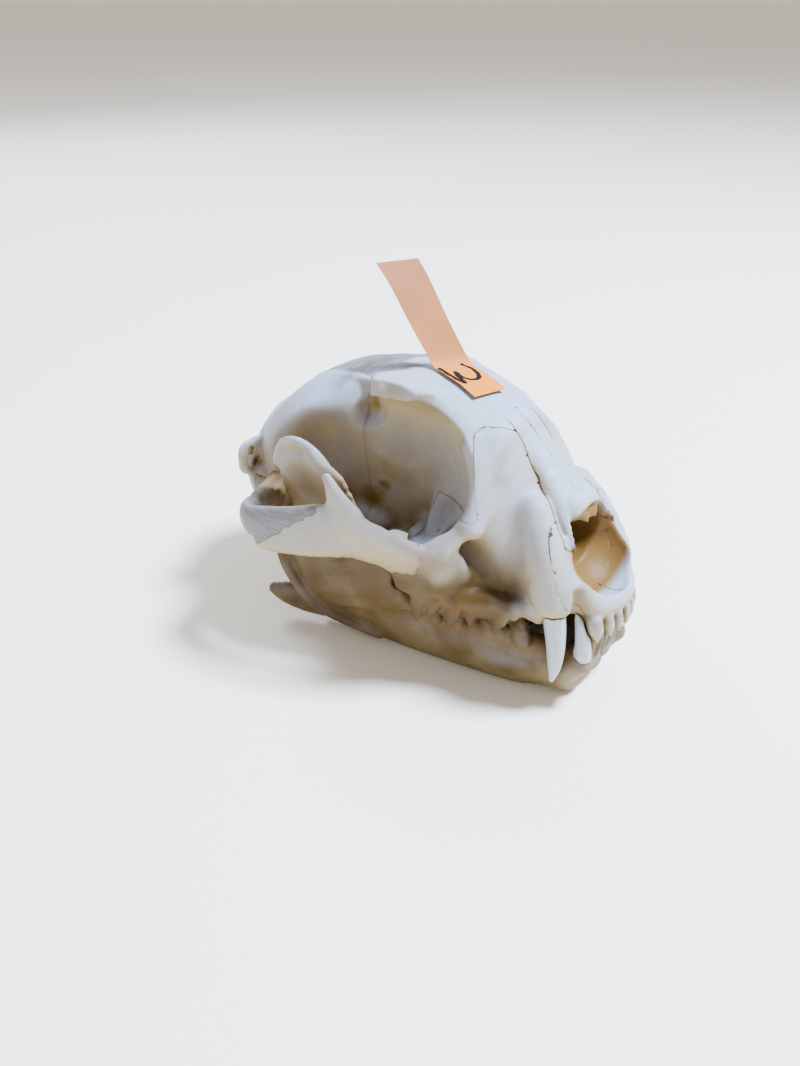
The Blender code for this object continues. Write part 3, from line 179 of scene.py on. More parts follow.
    # cheek bone
    arch = strap(q, ((22.5, -28.5, 39.5, 2.6, 5.0), (28.6, -22.4, 39.6, 2.4, 5.8), (34.4, -12.4, 43.4, 1.9, 6.4), (38.4, -3.0, 45.6, 1.8, 7.0),
                     (41.2, 5.6, 42.8, 1.8, 6.0), (42.9, 14.0, 39.2, 1.7, 4.2), (43.2, 19.0, 36.6, 1.4, 2.6)), out_of, 3, power=2.4)
    arch = smin(arch, strap((-X, y, z), ((36.9, -6.0, 50.0, 1.6, 4.2), (37.8, -3.0, 55.0, 1.3, 2.8), (38.0, -0.6, 59.2, 0.9, 1.2)), (1, 0, 0), 3), 1.4)
    arch = smin(arch, strap((X, y, z), ((36.9, -6.0, 50.0, 1.6, 4.2), (37.6, -4.0, 53.0, 1.3, 2.8), (37.8, -2.6, 55.8, 0.9, 1.2)), (1, 0, 0), 3), 1.4)
    temple = strap(q, ((39.6, 2.8, 49.6, 1.1, 1.3), (41.4, 8.0, 46.9, 1.6, 2.6), (42.6, 15.0, 43.4, 1.9, 4.0), (42.6, 22.0, 40.6, 2.2, 4.6), (39.4, 26.8, 39.6, 2.6, 4.2),
                       (33.0, 29.0, 39.8, 3.4, 3.6), (25.0, 30.0, 40.5, 5.0, 4.6)), out_of, 3)
    arch = smin(arch, temple, 0.6)
    f = smin(f, arch, 2.2)
    # joint hollow and the wing behind it
    f = smin(f, strap(q, ((22.0, 28.8, 38.2, 3.4, 3.2), (30.0, 28.6, 36.4, 2.4, 2.4), (37.6, 27.6, 37.2, 2.0, 1.8)), (0, 1, 0), 2), 1.6)
    # process over the orbit: whole on the left, broken short on the right
    right = strap((-X, y, z), ((7.0, -7.0, 72.6, 6.6, 2.3), (10.8, -1.0, 73.3, 6.8, 2.2), (14.4, 5.6, 72.5, 6.6, 2.1), (17.4, 11.0, 71.8, 5.4, 2.0)), (0.87, -0.49, 0), 2, power=3.2)
    right = smax(right, (-X - 13.7) * 0.437 + (y - 6.6) * 0.90 + (z - 72) * 0.1, 0.3)
    right = smax(right, (-X - 15.4) * 0.96 + (z - 71.4) * 0.25, 0.4)
    f = smin(f, right, 0.5)
    left = strap((X, y, z), ((9.0, -5.0, 71.6, 5.0, 2.6), (14.0, -0.4, 71.4, 3.8, 2.0), (19.6, 2.0, 68.2, 2.4, 1.6), (24.0, 4.0, 63.6, 1.1, 1.0)), (0.6, -0.8, 0), 3)
    f = smin(f, left, 1.4)
    # lines from the process to the back
    f = smin(f, strap(q, ((14.2, 2.4, 72.4, 1.2, 0.9), (11.8, 7.0, 72.4, 0.9, 0.8), (9.0, 17.0, 70.2, 0.8, 0.7), (6.2, 30.0, 66.2, 0.8, 0.7), (2.0, 42.0, 57.8, 0.9, 0.8)), (1, 0, 0), 3), 1.8)
    # crests
    crest = strap(q, ((0.0, 48.6, 53.2, 1.2, 2.6), (8.0, 47.6, 51.8, 1.2, 2.6), (15.0, 45.2, 48.6, 1.1, 2.5), (20.4, 43.8, 45.6, 1.1, 2.4), (23.9, 44.2, 42.6, 1.1, 2.8),
                      (23.4, 41.0, 37.0, 1.7, 2.4)), (0, 0.35, 1), 3)
    f = smin(f, crest, 2.0)
    f = smin(f, ball(q, (22.0, 38.5, 37.0), (4.2, 6.0, 6.5)), 2.0)
    f = smin(f, strap(q, ((20.6, 44.0, 47.4, 1.6, 2.2), (23.8, 45.2, 45.8, 1.8, 2.8), (24.8, 44.6, 41.6, 1.6, 2.2)), (0.3, 1, 0), 3), 1.2)
    # back of the skull, joint knobs and the great opening
    f = smin(f, ball(q, (0, 42.6, 44.8), (21.0, 5.8, 10.5)), 3.0)
    f = smax(f, -ball(q, (10.5, 53.6, 46.6), (9.0, 6.2, 7.0)), 2.0)
    f = smin(f, ball(q, (8.4, 47.8, 38.0), (4.3, 5.0, 5.8), yaw=25), 1.6)
    f = smin(f, strap(q, ((16.0, 42.5, 35.0, 2.6, 3.2), (17.0, 44.0, 30.4, 1.7, 2.0)), (0, 1, 0), 1), 1.5)
    # ear capsules
    f = smin(f, ball(q, (14.4, 33.4, 32.8), (8.0, 11.4, 9.0), yaw=14), 1.0)
    f = smax(f, -strap(q, ((20.5, 32.5, 36.2, 1.9, 2.3), (27.5, 33.6, 36.4, 2.2, 2.8)), (0, 1, 0), 1), 0.5)
    # groove between the canine and the incisors, for the tip of the lower canine
    f = smax(f, -strap(q, ((11.6, -57.6, 24.0, 1.8, 2.6), (12.2, -56.8, 31.0, 1.6, 2.6), (12.6, -55.4, 37.0, 0.9, 1.8)), (1, 0, 0), 2), 2.0)
    # floor: hollow behind the palate, palate hollow
    f = smax(f, -ball(q, (0, 4.0, 29.0), (7.4, 18.0, 9.0)), 1.0)
    f = smax(f, -ball(q, (0, -32.0, 24.2), (11.8, 27.0, 5.8)), 1.5)
    f = smin(f, strap(q, ((9.2, 6.0, 31.0, 1.2, 3.2), (8.4, 13.0, 31.0, 0.9, 2.6)), (1, 0, 0), 1), 1.2)
    f = smax(f, -ball(q, (0, 52.5, 42.6), (6.6, 16.0, 5.4)), 0.8)
    # nose opening
    f = smax(f, -ball(q, (0, -54.6, 42.0), (10.5, 8.8, 9.8), pitch=-30), 0.6)
    f = smax(f, -ball(q, (0, -45.0, 44.0), (7.6, 15.0, 7.8), pitch=-20), 0.8)
    # nose bones: a roof over the opening, with a point on each side
    ys = (-52.5, -49, -46, -42, -36, -30, -25)
    half, top, mid = (9.7, 9.2, 8.5, 7.1, 5.6, 4.6, 4.0), (47.6, 51.8, 54.8, 58.4, 63.8, 68.4, 70.8), (43.6, 45.6, 48.0, 52.0, 57.6, 62.6, 65.6)
    groove = 0.6 * np.exp(-(x / 2.2) ** 2)
    shell = loft((x, y, z + groove), ys, half, top, tuple(m - 8 for m in mid), 2.6, mid=mid, cap=2.0)
    edge = curve(x, (0, 2.0, 4.5, 6.4, 7.8, 9.4), (-49.0, -49.6, -48.2, -47.2, -49.0, -52.0))
    shell = smax(smax(shell, -(shell + 2.0), 0.3), np.maximum(edge - y, 45.4 - z + 0.5 * (y + 50)), 0.5)
    f = smin(f, shell, 0.5)
    # recess and opening below the orbit
    f = smax(f, -strap(q, ((17.4, -41.0, 35.2, 0.9, 4.0), (18.9, -35.8, 38.0, 1.6, 4.4), (19.8, -30.6, 41.0, 2.2, 3.6), (21.0, -25.0, 43.5, 1.9, 2.6)), (1, 0.3, 0), 3), 3.4)
    return f

# ---------------------------------------------------------------- teeth (x taken as its absolute value)
def horn(p, stations, n=5):
    return strap(p, stations, (1, 0, 0), n)
def upper_canine(p):
    q = (np.abs(p[0]), p[1], p[2])
    return horn(q, ((13.8, -48.8, 33.5, 2.6, 3.0), (14.0, -50.3, 28.3, 2.45, 2.85), (14.4, -51.6, 22.0, 2.15, 2.45), (14.4, -52.0, 15.5, 1.6, 1.8), (13.9, -51.4, 10.0, 0.6, 0.65)))
def lower_canine(p):
    q = (np.abs(p[0]), p[1], p[2])
    return horn(q, ((7.6, -52.4, 9.5, 2.3, 2.6), (8.7, -55.6, 15.2, 2.2, 2.5), (9.9, -56.6, 20.5, 1.85, 2.1), (10.2, -55.6, 25.4, 1.3, 1.45), (9.9, -53.9, 29.2, 0.55, 0.55)))
def cusp(q, base, tip, w, l, n=2):
    """Blade cusp: base and tip points, half width across, half length along the row at the base."""
    b, t = np.array(base, float), np.array(tip, float); m = 0.5 * (b + t)
    return strap(q, ((*b, w, l), (*m, 0.8 * w, 0.8 * l), (*t, 0.45, 0.8)), (0.9, 0.42, 0), n)
def upper_teeth(p):
    q = (np.abs(p[0]), p[1], p[2])
    f = None
    for c in (((1.9, -60.0, 28.4), (1.8, -61.4, 23.8), 1.35, 1.6), ((5.0, -59.2, 28.4), (4.9, -60.8, 23.6), 1.45, 1.7), ((8.3, -57.6, 28.6), (8.2, -59.2, 22.8), 1.8, 2.1)):
        v = strap(q, ((*c[0], c[2], c[3]), (*(0.5 * (np.array(c[0]) + c[1])), c[2], c[3] * 0.95), (*c[1], 0.55, 0.6)), (1, 0, 0), 2)
        f = v if f is None else np.minimum(f, v)
    for b, t, w, l in (((17.2, -37.6, 28.0), (19.2, -37.0, 21.4), 2.3, 4.0), ((18.4, -33.6, 28.0), (19.8, -33.8, 24.6), 2.2, 2.8), ((16.6, -41.2, 28.6), (17.4, -41.0, 25.6), 1.8, 2.2),
                       ((20.4, -31.0, 28.0), (21.7, -31.4, 22.0), 2.3, 2.8), ((22.4, -26.6, 28.0), (24.1, -26.8, 20.7), 2.6, 4.2), ((25.0, -22.0, 28.4), (26.3, -21.4, 22.2), 2.3, 4.2),
                       ((26.4, -19.2, 28.6), (27.5, -19.0, 20.6), 2.0, 3.2), ((17.6, -29.4, 28.4), (17.8, -29.0, 25.0), 2.0, 2.0), ((23.0, -14.6, 28.6), (22.6, -14.2, 25.6), 2.6, 1.4)):
        f = np.minimum(f, cusp(q, b, t, w, l))
    return f
def lower_teeth(p):
    q = (np.abs(p[0]), p[1], p[2])
    f = None
    for c in (((1.3, -56.8, 15.2), (1.25, -58.4, 23.6), 1.05, 1.4), ((3.5, -56.6, 15.2), (3.5, -58.1, 23.8), 1.1, 1.5), ((5.7, -55.8, 15.4), (5.9, -57.2, 23.8), 1.2, 1.6)):
        v = strap(q, ((*c[0], c[2], c[3]), (*(0.5 * (np.array(c[0]) + c[1])), c[2], c[3] * 0.9), (*c[1], 0.5, 0.5)), (1, 0, 0), 2)
        f = v if f is None else np.minimum(f, v)
    for b, t, w, l in (((14.2, -41.6, 18.5), (14.8, -41.6, 25.2), 2.3, 3.9), ((14.8, -38.2, 17.6), (15.0, -38.0, 20.6), 1.6, 2.0),
                       ((16.0, -33.0, 17.8), (16.2, -33.0, 23.8), 2.0, 3.4), ((15.4, -36.2, 17.8), (15.6, -36.2, 21.4), 1.6, 1.8), ((17.0, -29.6, 17.8), (17.0, -29.4, 21.4), 1.6, 1.8),
                       ((18.4, -25.0, 18.0), (18.6, -25.6, 23.8), 2.1, 3.2), ((20.2, -19.0, 18.0), (20.2, -18.2, 25.0), 2.1, 3.6)):
        f = np.minimum(f, cusp(q, b, t, w, l))
    return f

# ---------------------------------------------------------------- lower jaw
def jaw(p):
    q = (np.abs(p[0]), p[1], p[2]); x, y, z = q
    f = strap(q, ((3.6, -48.6, 9.4, 3.4, 7.6), (7.0, -48.4, 9.4, 4.4, 9.2), (10.8, -41.6, 10.2, 4.2, 10.0), (13.9, -32.0, 10.0, 4.2, 9.4), (16.8, -20.0, 10.2, 4.1, 9.8), (19.6, -8.0, 10.6, 3.7, 10.2),
                  (21.8, 2.0, 11.2, 3.0, 10.6), (23.6, 11.0, 11.6, 2.3, 10.2), (24.8, 18.0, 11.4, 1.8, 9.2)), (1.0, 0.25, -0.2), 3)
    f = smin(f, ball(q, (3.2, -49.4, 10.6), (5.4, 4.2, 8.2), pitch=-38), 2.6)
    f = smin(f, ball(q, (0, -42.6, 9.0), (9.0, 8.6, 5.6), pitch=-30), 3.0)
    # gum swelling of the lower canine and the row between
    f = smin(f, strap(q, ((7.4, -48.6, 6.6, 3.2, 4.0), (8.6, -55.3, 15.0, 3.0, 3.9)), (1, 0, 0), 1), 2.0)
    f = smin(f, ball(q, (2.8, -54.4, 13.8), (5.0, 2.8, 4.4), pitch=-30), 2.0)
    # rising branch and its top
    f = smin(f, strap(q, ((23.2, -6.0, 17.0, 2.2, 9.0), (25.4, -0.5, 25.0, 1.8, 11.0), (27.6, 5.6, 35.0, 1.5, 12.0), (29.6, 10.6, 45.0, 1.3, 11.4), (30.8, 13.6, 52.0, 1.1, 9.4), (31.2, 15.0, 57.0, 0.9, 5.4)), (1, 0.1, -0.15), 3, k=1.5, power=2.8), 2.0)
    f = smin(f, strap(q, ((25.6, 12.0, 13.0, 1.7, 12.6), (28.2, 16.6, 24.0, 1.8, 12.4), (29.6, 20.6, 31.5, 1.8, 8.6)), (1, 0.1, -0.15), 3, k=1.5, power=2.8), 4.0)
    f = smin(f, ball(q, (30.6, 15.0, 53.6), (1.2, 9.8, 7.2)), 0.8)
    f = smax(f, -ball(q, (34.4, 14.6, 48.0), (3.0, 8.2, 10.6)), 1.2)
    # front ridge of the branch
    f = smin(f, strap(q, ((21.0, -19.0, 18.6, 2.0, 1.6), (24.0, -13.4, 22.5, 1.8, 1.6), (26.6, -8.2, 29.0, 1.4, 1.5), (28.4, -3.6, 37.0, 1.2, 1.3), (30.0, 1.0, 46.0, 1.0, 1.2), (31.0, 4.6, 53.4, 0.9, 1.1),
                      (31.4, 9.4, 58.8, 0.8, 1.0), (31.2, 15.6, 60.6, 0.8, 1.0), (30.8, 21.6, 58.4, 0.7, 0.9), (30.2, 25.0, 52.0, 0.7, 0.9)), (1, 0, 0), 3), 1.6)
    # joint head
    f = smin(f, strap(q, ((24.0, 25.6, 31.4, 2.4, 2.2), (31.0, 25.2, 31.8, 2.9, 2.8), (37.6, 24.2, 32.4, 2.2, 2.0)), (0, 1, 0), 2), 1.2)
    # corner and its hook
    f = smin(f, strap(q, ((25.0, 17.0, 8.6, 1.8, 5.6), (27.0, 23.0, 8.0, 1.8, 5.0), (29.0, 28.0, 8.2, 1.9, 3.6), (30.2, 31.0, 9.0, 1.5, 2.0)), (1, 0.1, 0), 2), 1.6)
    # lower and rear ridge round the muscle hollow
    f = smin(f, strap(q, ((22.4, -2.0, 4.6, 1.6, 1.6), (24.6, 8.0, 5.6, 1.6, 1.7), (27.0, 16.0, 8.0, 1.6, 1.8), (28.6, 21.5, 12.6, 1.5, 1.6), (30.0, 25.4, 20.0, 1.5, 1.6), (30.4, 26.4, 28.0, 1.6, 1.8)), (1, 0.1, 0), 3), 1.6)
    return f
def mandible(p):
    return smin(jaw(p), lower_teeth(p), 0.5)
def upper(p):
    q = (np.abs(p[0]), p[1], p[2])
    wall = strap(q, ((17.6, -37.6, 26.8, 1.5, 3.0), (20.2, -31.6, 26.6, 1.5, 3.0), (23.0, -26.4, 26.4, 1.6, 3.2), (25.6, -21.0, 26.6, 1.6, 3.2)), (0.9, 0.42, 0), 3)
    return smin(smin(cranium(p), wall, 1.2), upper_teeth(p), 0.8)

# ---------------------------------------------------------------- mesh of a field
def nets(V, o, h):
    """Dual mesh of the zero level of V (inside negative): vertices and quads."""
    S = V < 0
    c = S[:-1, :-1, :-1].astype(np.int8)
    c = c + S[1:, :-1, :-1] + S[:-1, 1:, :-1] + S[:-1, :-1, 1:] + S[1:, 1:, :-1] + S[1:, :-1, 1:] + S[:-1, 1:, 1:] + S[1:, 1:, 1:]
    I = np.argwhere((c > 0) & (c < 8))
    idx = -np.ones(c.shape, np.int32); idx[I[:, 0], I[:, 1], I[:, 2]] = np.arange(len(I))
    C = [(a, b, d) for a in (0, 1) for b in (0, 1) for d in (0, 1)]
    val = np.stack([V[I[:, 0] + a, I[:, 1] + b, I[:, 2] + d] for a, b, d in C], 1)
    P = np.zeros((len(I), 3)); n = np.zeros(len(I))
    for i in range(8):
        for j in range(i + 1, 8):
            d = np.array(C[j]) - np.array(C[i])
            if np.abs(d).sum() != 1:
                continue
            a, b = val[:, i], val[:, j]; m = (a < 0) != (b < 0)
            t = np.where(m, a / np.where(m, a - b, 1), 0)
            P += m[:, None] * (np.array(C[i]) + t[:, None] * d); n += m
    P = P / n[:, None] + I
    Q = []
    for ax in range(3):
        u, v = (ax + 1) % 3, (ax + 2) % 3
        a = [slice(None)] * 3; b = [slice(None)] * 3
        a[ax] = slice(None, -1); b[ax] = slice(1, None)
        A, B = S[tuple(a)], S[tuple(b)]
        E = np.argwhere(A != B)
        E = E[(E[:, u] > 0) & (E[:, v] > 0) & (E[:, u] < V.shape[u] - 1) & (E[:, v] < V.shape[v] - 1)]
        flip = ~A[E[:, 0], E[:, 1], E[:, 2]]
        q = []
        for du, dv in ((-1, -1), (0, -1), (0, 0), (-1, 0)):
            e = E.copy(); e[:, u] += du; e[:, v] += dv
            q.append(idx[e[:, 0], e[:, 1], e[:, 2]])
        q = np.stack(q, 1); q[flip] = q[flip][:, ::-1]
        Q.append(q)
    return P * h + np.array(o), np.vstack(Q)

def spread(fn, P, size=12.0):
    """fn at the rows of P, worked out block by block."""
    k = np.floor(P / size).astype(np.int64) + 50
    key = (k[:, 0] * 200 + k[:, 1]) * 200 + k[:, 2]
    order = np.argsort(key, kind='stable'); cuts = np.flatnonzero(np.diff(key[order])) + 1
    out = np.empty(len(P))
    for idx in np.split(order, cuts):
        if len(idx):
            out[idx] = fn(tuple(np.ascontiguousarray(P[idx].T)))
    return out

def grid(fn, lo, hi, h, coarse=4):
    """Values of fn on a grid, worked out finely only near the surface."""
    lo = np.array(lo, float); hi = np.array(hi, float)
    n = np.ceil((hi - lo) / h).astype(int) + 1
    n = ((n + coarse - 1) // coarse) * coarse + 1
    H = h * coarse
    ax = [lo[i] + H * np.arange((n[i] - 1) // coarse + 1) for i in range(3)]
    G = np.meshgrid(*ax, indexing='ij')
    C = spread(fn, np.stack([g.ravel() for g in G], 1), 18.0).reshape(G[0].shape)
    V = np.repeat(np.repeat(np.repeat(C, coarse, 0), coarse, 1), coarse, 2)
    V = np.where(V < 0, -9.0, 9.0)[:n[0], :n[1], :n[2]]
    near = np.abs(C) < H * 1.9
    m = near[:-1, :-1, :-1] | near[1:, :-1, :-1] | near[:-1, 1:, :-1] | near[:-1, :-1, 1:] | near[1:, 1:, :-1] | near[1:, :-1, 1:] | near[:-1, 1:, 1:] | near[1:, 1:, 1:]
    K = np.argwhere(m)
    r = np.arange(coarse + 1)
    O = np.stack(np.meshgrid(r, r, r, indexing='ij'), -1).reshape(-1, 3)
    J = (K[:, None, :] * coarse + O[None]).reshape(-1, 3)
    key = np.unique((J[:, 0] * n[1] + J[:, 1]) * n[2] + J[:, 2])
    i, r = np.divmod(key, n[1] * n[2]); j, k = np.divmod(r, n[2])
    V[i, j, k] = spread(fn, np.stack([lo[0] + h * i, lo[1] + h * j, lo[2] + h * k], 1))
    return V, lo

def well(V):
    """Fills the corners where the inside would meet itself only along an edge or at a point."""
    V = V.copy(); inside = -1e-3
    for turn in range(60):
        S = V < 0; todo = []
        for ax in range(3):
            u, v = [k for k in range(3) if k != ax]
            def part(a, b):
                s = [slice(None)] * 3
                s[u] = slice(1, None) if a else slice(None, -1); s[v] = slice(1, None) if b else slice(None, -1)
                return tuple(s)
            A, B, C, D = (S[part(0, 0)], S[part(1, 1)], S[part(1, 0)], S[part(0, 1)])
            for i in np.argwhere((A == B) & (C == D) & (A != C)):
                c = []
                for a, b in ((0, 0), (1, 1), (1, 0), (0, 1)):
                    j = i.copy(); j[u] += a; j[v] += b; j = tuple(j)
                    if not S[j]:
                        c.append((V[j], j))
                todo.append(min(c)[1])
        T = {}
        for a in (0, 1):
            for b in (0, 1):
                for c in (0, 1):
                    T[a, b, c] = S[a:S.shape[0] - 1 + a, b:S.shape[1] - 1 + b, c:S.shape[2] - 1 + c]
        n = sum(t.astype(np.int8) for t in T.values())
        for a, b, c in ((0, 0, 0), (1, 0, 0), (0, 1, 0), (0, 0, 1)):
            p, q = T[a, b, c], T[1 - a, 1 - b, 1 - c]
            for i in np.argwhere(((n == 2) & p & q) | ((n == 6) & ~p & ~q)):
                todo += [(i[0] + x, i[1] + y, i[2] + z) for x in (0, 1) for y in (0, 1) for z in (0, 1)]
        if not todo:
            break
        for j in todo:
            if V[j] >= 0:
                V[j] = inside
    return V

# ================================================================ the visible bones
MM = 0.001
H = 0.5                    # grid step, mm
SHIFT = np.array([0.0, 3.55, -0.9])
FOOT = 0.9

def wave(p, a, s, t):
    """A soft irregular wobble of amplitude a and wave number s."""
    return a * (np.sin(s * p[0] + 1.3 * t) * np.cos(1.21 * s * p[1] - 0.7 * t) + 0.7 * np.sin(1.43 * s * p[2] + 0.83 * s * p[1] + 2.1 * t) + 0.45 * np.sin(2.3 * s * p[1] - 1.9 * s * p[2] + t))

def region(cells, side, wob=0.0):
    """Signed field, negative inside: the union of convex cells, every plane given for the left side."""
    def f(p, w=None):
        w = wob * (wave(p, 1.0, 1.4, 0.0) if w is None else w) if wob else 0.0
        out = None
        for planes in cells:
            c = None
            for q, n in planes:
                n = np.array(n, float); n /= np.linalg.norm(n)
                d = (p[0] * side - q[0]) * n[0] + (p[1] - q[1]) * n[1] + (p[2] - q[2]) * n[2]
                if not (abs(n[0]) > 0.999 and q[0] == 0.0):   # the mid line stays straight
                    d = d + w
                c = d if c is None else np.maximum(c, d)
            out = c if out is None else np.minimum(out, c)
        return out
    return f

NOSE_ENDS = [((0, -26.4, 70), (0, 1, 0.1)), ((0, -36.0, 57.6), (0, 0.66, -0.75)), ((0.0, 0, 0), (-1, 0, 0)), ((0, -54, 44.0), (0, -0.2, -1))]
NASAL = [((4.9, -29.5, 68.8), (1, 0.051, 0.051))] + NOSE_ENDS
NASAL_TIP = [((6.5, -40.2, 57.9), (1, 0.217, 0.217))] + NOSE_ENDS
PREMAX = [((12.3, -45.4, 50.7), (0.0, 0.905, -0.427)), ((0.0, 0, 0), (-1, 0, 0))]
MAX_UP = [((12.8, -23.8, 67.3), (0.479, 0.861, -0.174)), ((9.6, -25.0, 69.2), (-0.767, 0.536, 0.35)), ((11.3, -24.0, 68.7), (-0.2, 0.972, 0.122)), ((0, 0, 44), (0, 0, -1)), ((0.0, 0, 0), (-1, 0, 0))]
MAX_LOW = [((0, -11.5, 30), (0, 1, 0.12)), ((0, 0, 47.6), (0, 0.1, 1)), ((0.0, 0, 0), (-1, 0, 0))]
CHEEK = [((29.0, -20.0, 42), (-0.80, -0.58, -0.05)), ((26, 0, 0), (-1, 0, 0)), ((0, 0, 33), (0, -0.2, -1))]
JUGAL_TIP = CHEEK + [((0, 1.2, 0), (0, 1, 0))]
JUGAL_REAR = CHEEK + [((41.5, 2.6, 49.0), (0.0, 0.62, 0.78))]
TEMPORAL = [((28.9, 24, 52.5), (-1.0, 0, 0.339)), ((0, 0.5, 0), (0, -1, 0)), ((0, 40.0, 40), (0, 1, -0.1)), ((0, 0, 30.0), (0, 0, -1))]
BULLA = [((0, 0, 32.0), (0, 0, 1)), ((0, 22, 0), (0, -1, 0)), ((0, 46, 0), (0, 1, 0)), ((5, 0, 0), (-1, 0, 0)), ((24.5, 0, 0), (1, 0, 0))]
FACE = [((0, 8.0, 60), (0, 1, 0.0)), ((0.0, 0, 0), (-1, 0, 0))]
BACK = [((0, 44.0, 50), (0, -0.985, 0.171))]



def inter(*fs):
    return lambda p: np.maximum.reduce([f(p) for f in fs])

def labels(n, Q):
    E = np.vstack([Q[:, [0, 1]], Q[:, [1, 2]], Q[:, [2, 3]], Q[:, [3, 0]]])
    l = np.arange(n)
    while True:
        m = np.minimum(l[E[:, 0]], l[E[:, 1]])
        k = l.copy(); np.minimum.at(k, E[:, 0], m); np.minimum.at(k, E[:, 1], m)
        k = k[k]; k = k[k]
        if (k == l).all():
            return l
        l = k

def whole(P, Q, keep=1):
    """The largest connected shell."""
    l = labels(len(P), Q)[Q[:, 0]]
    ids, cnt = np.unique(l, return_counts=True)
    good = ids[np.argsort(-cnt)[:keep]]
    Q = Q[np.isin(l, good)]
    used = np.unique(Q); new = -np.ones(len(P), int); new[used] = np.arange(len(used))
    return P[used], new[Q]

def slope(f, P, e=0.08):
    g = np.empty_like(P)
    for i in range(3):
        A = P.copy(); B = P.copy(); A[:, i] += e; B[:, i] -= e
        g[:, i] = (f(tuple(A.T)) - f(tuple(B.T))) / (2 * e)
    return g

SNAPPED = []
def crisp(P, F, C, h):
    """Moves the points near the rim of a cut onto both the bone's surface and the cut."""
    I = np.where(np.abs(C(tuple(P.T))) < 0.75 * h)[0]
    I = I[np.abs(spread(F, P[I])) < 0.75 * h]
    if not len(I):
        return P
    X = P[I].copy(); X0 = X.copy(); G = lambda p: spread(F, np.stack(p, 1))
    for k in range(3):
        f = G(tuple(X.T)); c = C(tuple(X.T))
        if k < 2:
            a = slope(G, X); b = slope(C, X)
            aa, bb, ab = (a * a).sum(1), (b * b).sum(1), (a * b).sum(1)
            det = aa * bb - ab * ab; ok = det > 0.05 * aa * bb
            det = np.where(ok, det, 1)
        u = (-f * bb + c * ab) / det; v = (-c * aa + f * ab) / det
        X = X + np.where(ok, u, 0)[:, None] * a + np.where(ok, v, 0)[:, None] * b
    d = np.linalg.norm(X - X0, axis=1); ok = d < 1.1 * h
    P = P.copy(); P[I[ok]] = X[ok]; SNAPPED[:] = I[ok].tolist()
    return P

import time
T0 = time.time()
# what lies round a point, for the painted shade that darkens the hollows
def lowres():
    lo = np.array([-52.0, -72.0, -8.0]); n = np.array([70, 92, 64]); h = 1.5
    ax = [lo[i] + h * np.arange(n[i]) for i in range(3)]
    G = np.meshgrid(*ax, indexing='ij'); p = tuple(g.ravel() for g in G)
    F = np.minimum(np.minimum(upper(p), mandible(p)), np.minimum(upper_canine(p), lower_canine(p)))
    return F.reshape(n), lo, h

def look(V, o, h, P):
    q = (P - o) / h; i = np.clip(np.floor(q).astype(int), 0, np.array(V.shape) - 2); t = np.clip(q - i, 0, 1)
    out = 0
    for a in (0, 1):
        for b in (0, 1):
            for c in (0, 1):
                w = (t[:, 0] if a else 1 - t[:, 0]) * (t[:, 1] if b else 1 - t[:, 1]) * (t[:, 2] if c else 1 - t[:, 2])
                out = out + w * V[i[:, 0] + a, i[:, 1] + b, i[:, 2] + c]
    return out

LOW = lowres()

def link(name, me):
    ob = bpy.data.objects.new(name, me); bpy.context.scene.collection.objects.link(ob); return ob

def make(name, P, Q, node, mat, sharp=42.0):
    me = bpy.data.meshes.new(name)
    me.from_pydata(((P + SHIFT) * MM).tolist(), [], Q.tolist()); me.update()
    if SNAPPED:   # points that met on the rim of a cut become one
        bm = bmesh.new(); bm.from_mesh(me); bm.verts.ensure_lookup_table()
        bmesh.ops.remove_doubles(bm, verts=[bm.verts[i] for i in SNAPPED], dist=0.0002)
        bm.to_mesh(me); bm.free(); SNAPPED.clear(); me.update()
        P = np.empty(len(me.vertices) * 3); me.vertices.foreach_get('co', P); P = P.reshape(-1, 3) / MM - SHIFT
    me.shade_smooth(); me.set_sharp_from_angle(angle=math.radians(sharp))
    N = np.empty(len(P) * 3); me.vertices.foreach_get('normal', N); N = N.reshape(-1, 3)
    # painted shade: how closed in each point is, turned into darker hollows in the material
    occ = 0.0
    for r, w in ((2.0, 0.22), (4.0, 0.26), (8.0, 0.28), (14.0, 0.24)):
        occ = occ + w * np.clip(1 - look(*LOW, P + N * r) / r, 0, 1.4)
    fields = {'hollow': occ, **paint(P, N, name)}
    for k, v in fields.items():
        a = me.attributes.new(k, 'FLOAT', 'POINT'); a.data.foreach_set('value', np.clip(v, 0, 1).astype(np.float32))
    me.materials.append(mat)
    ob = link(name, me)
    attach(ob, 'root'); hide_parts(node)
    return ob

def spot(P, c, r, soft=0.5, hard=1.0):
    d = np.sqrt((((P - np.array(c)) / np.array(r)) ** 2).sum(1))
    return np.clip((1 - d) / soft, 0, 1) * hard

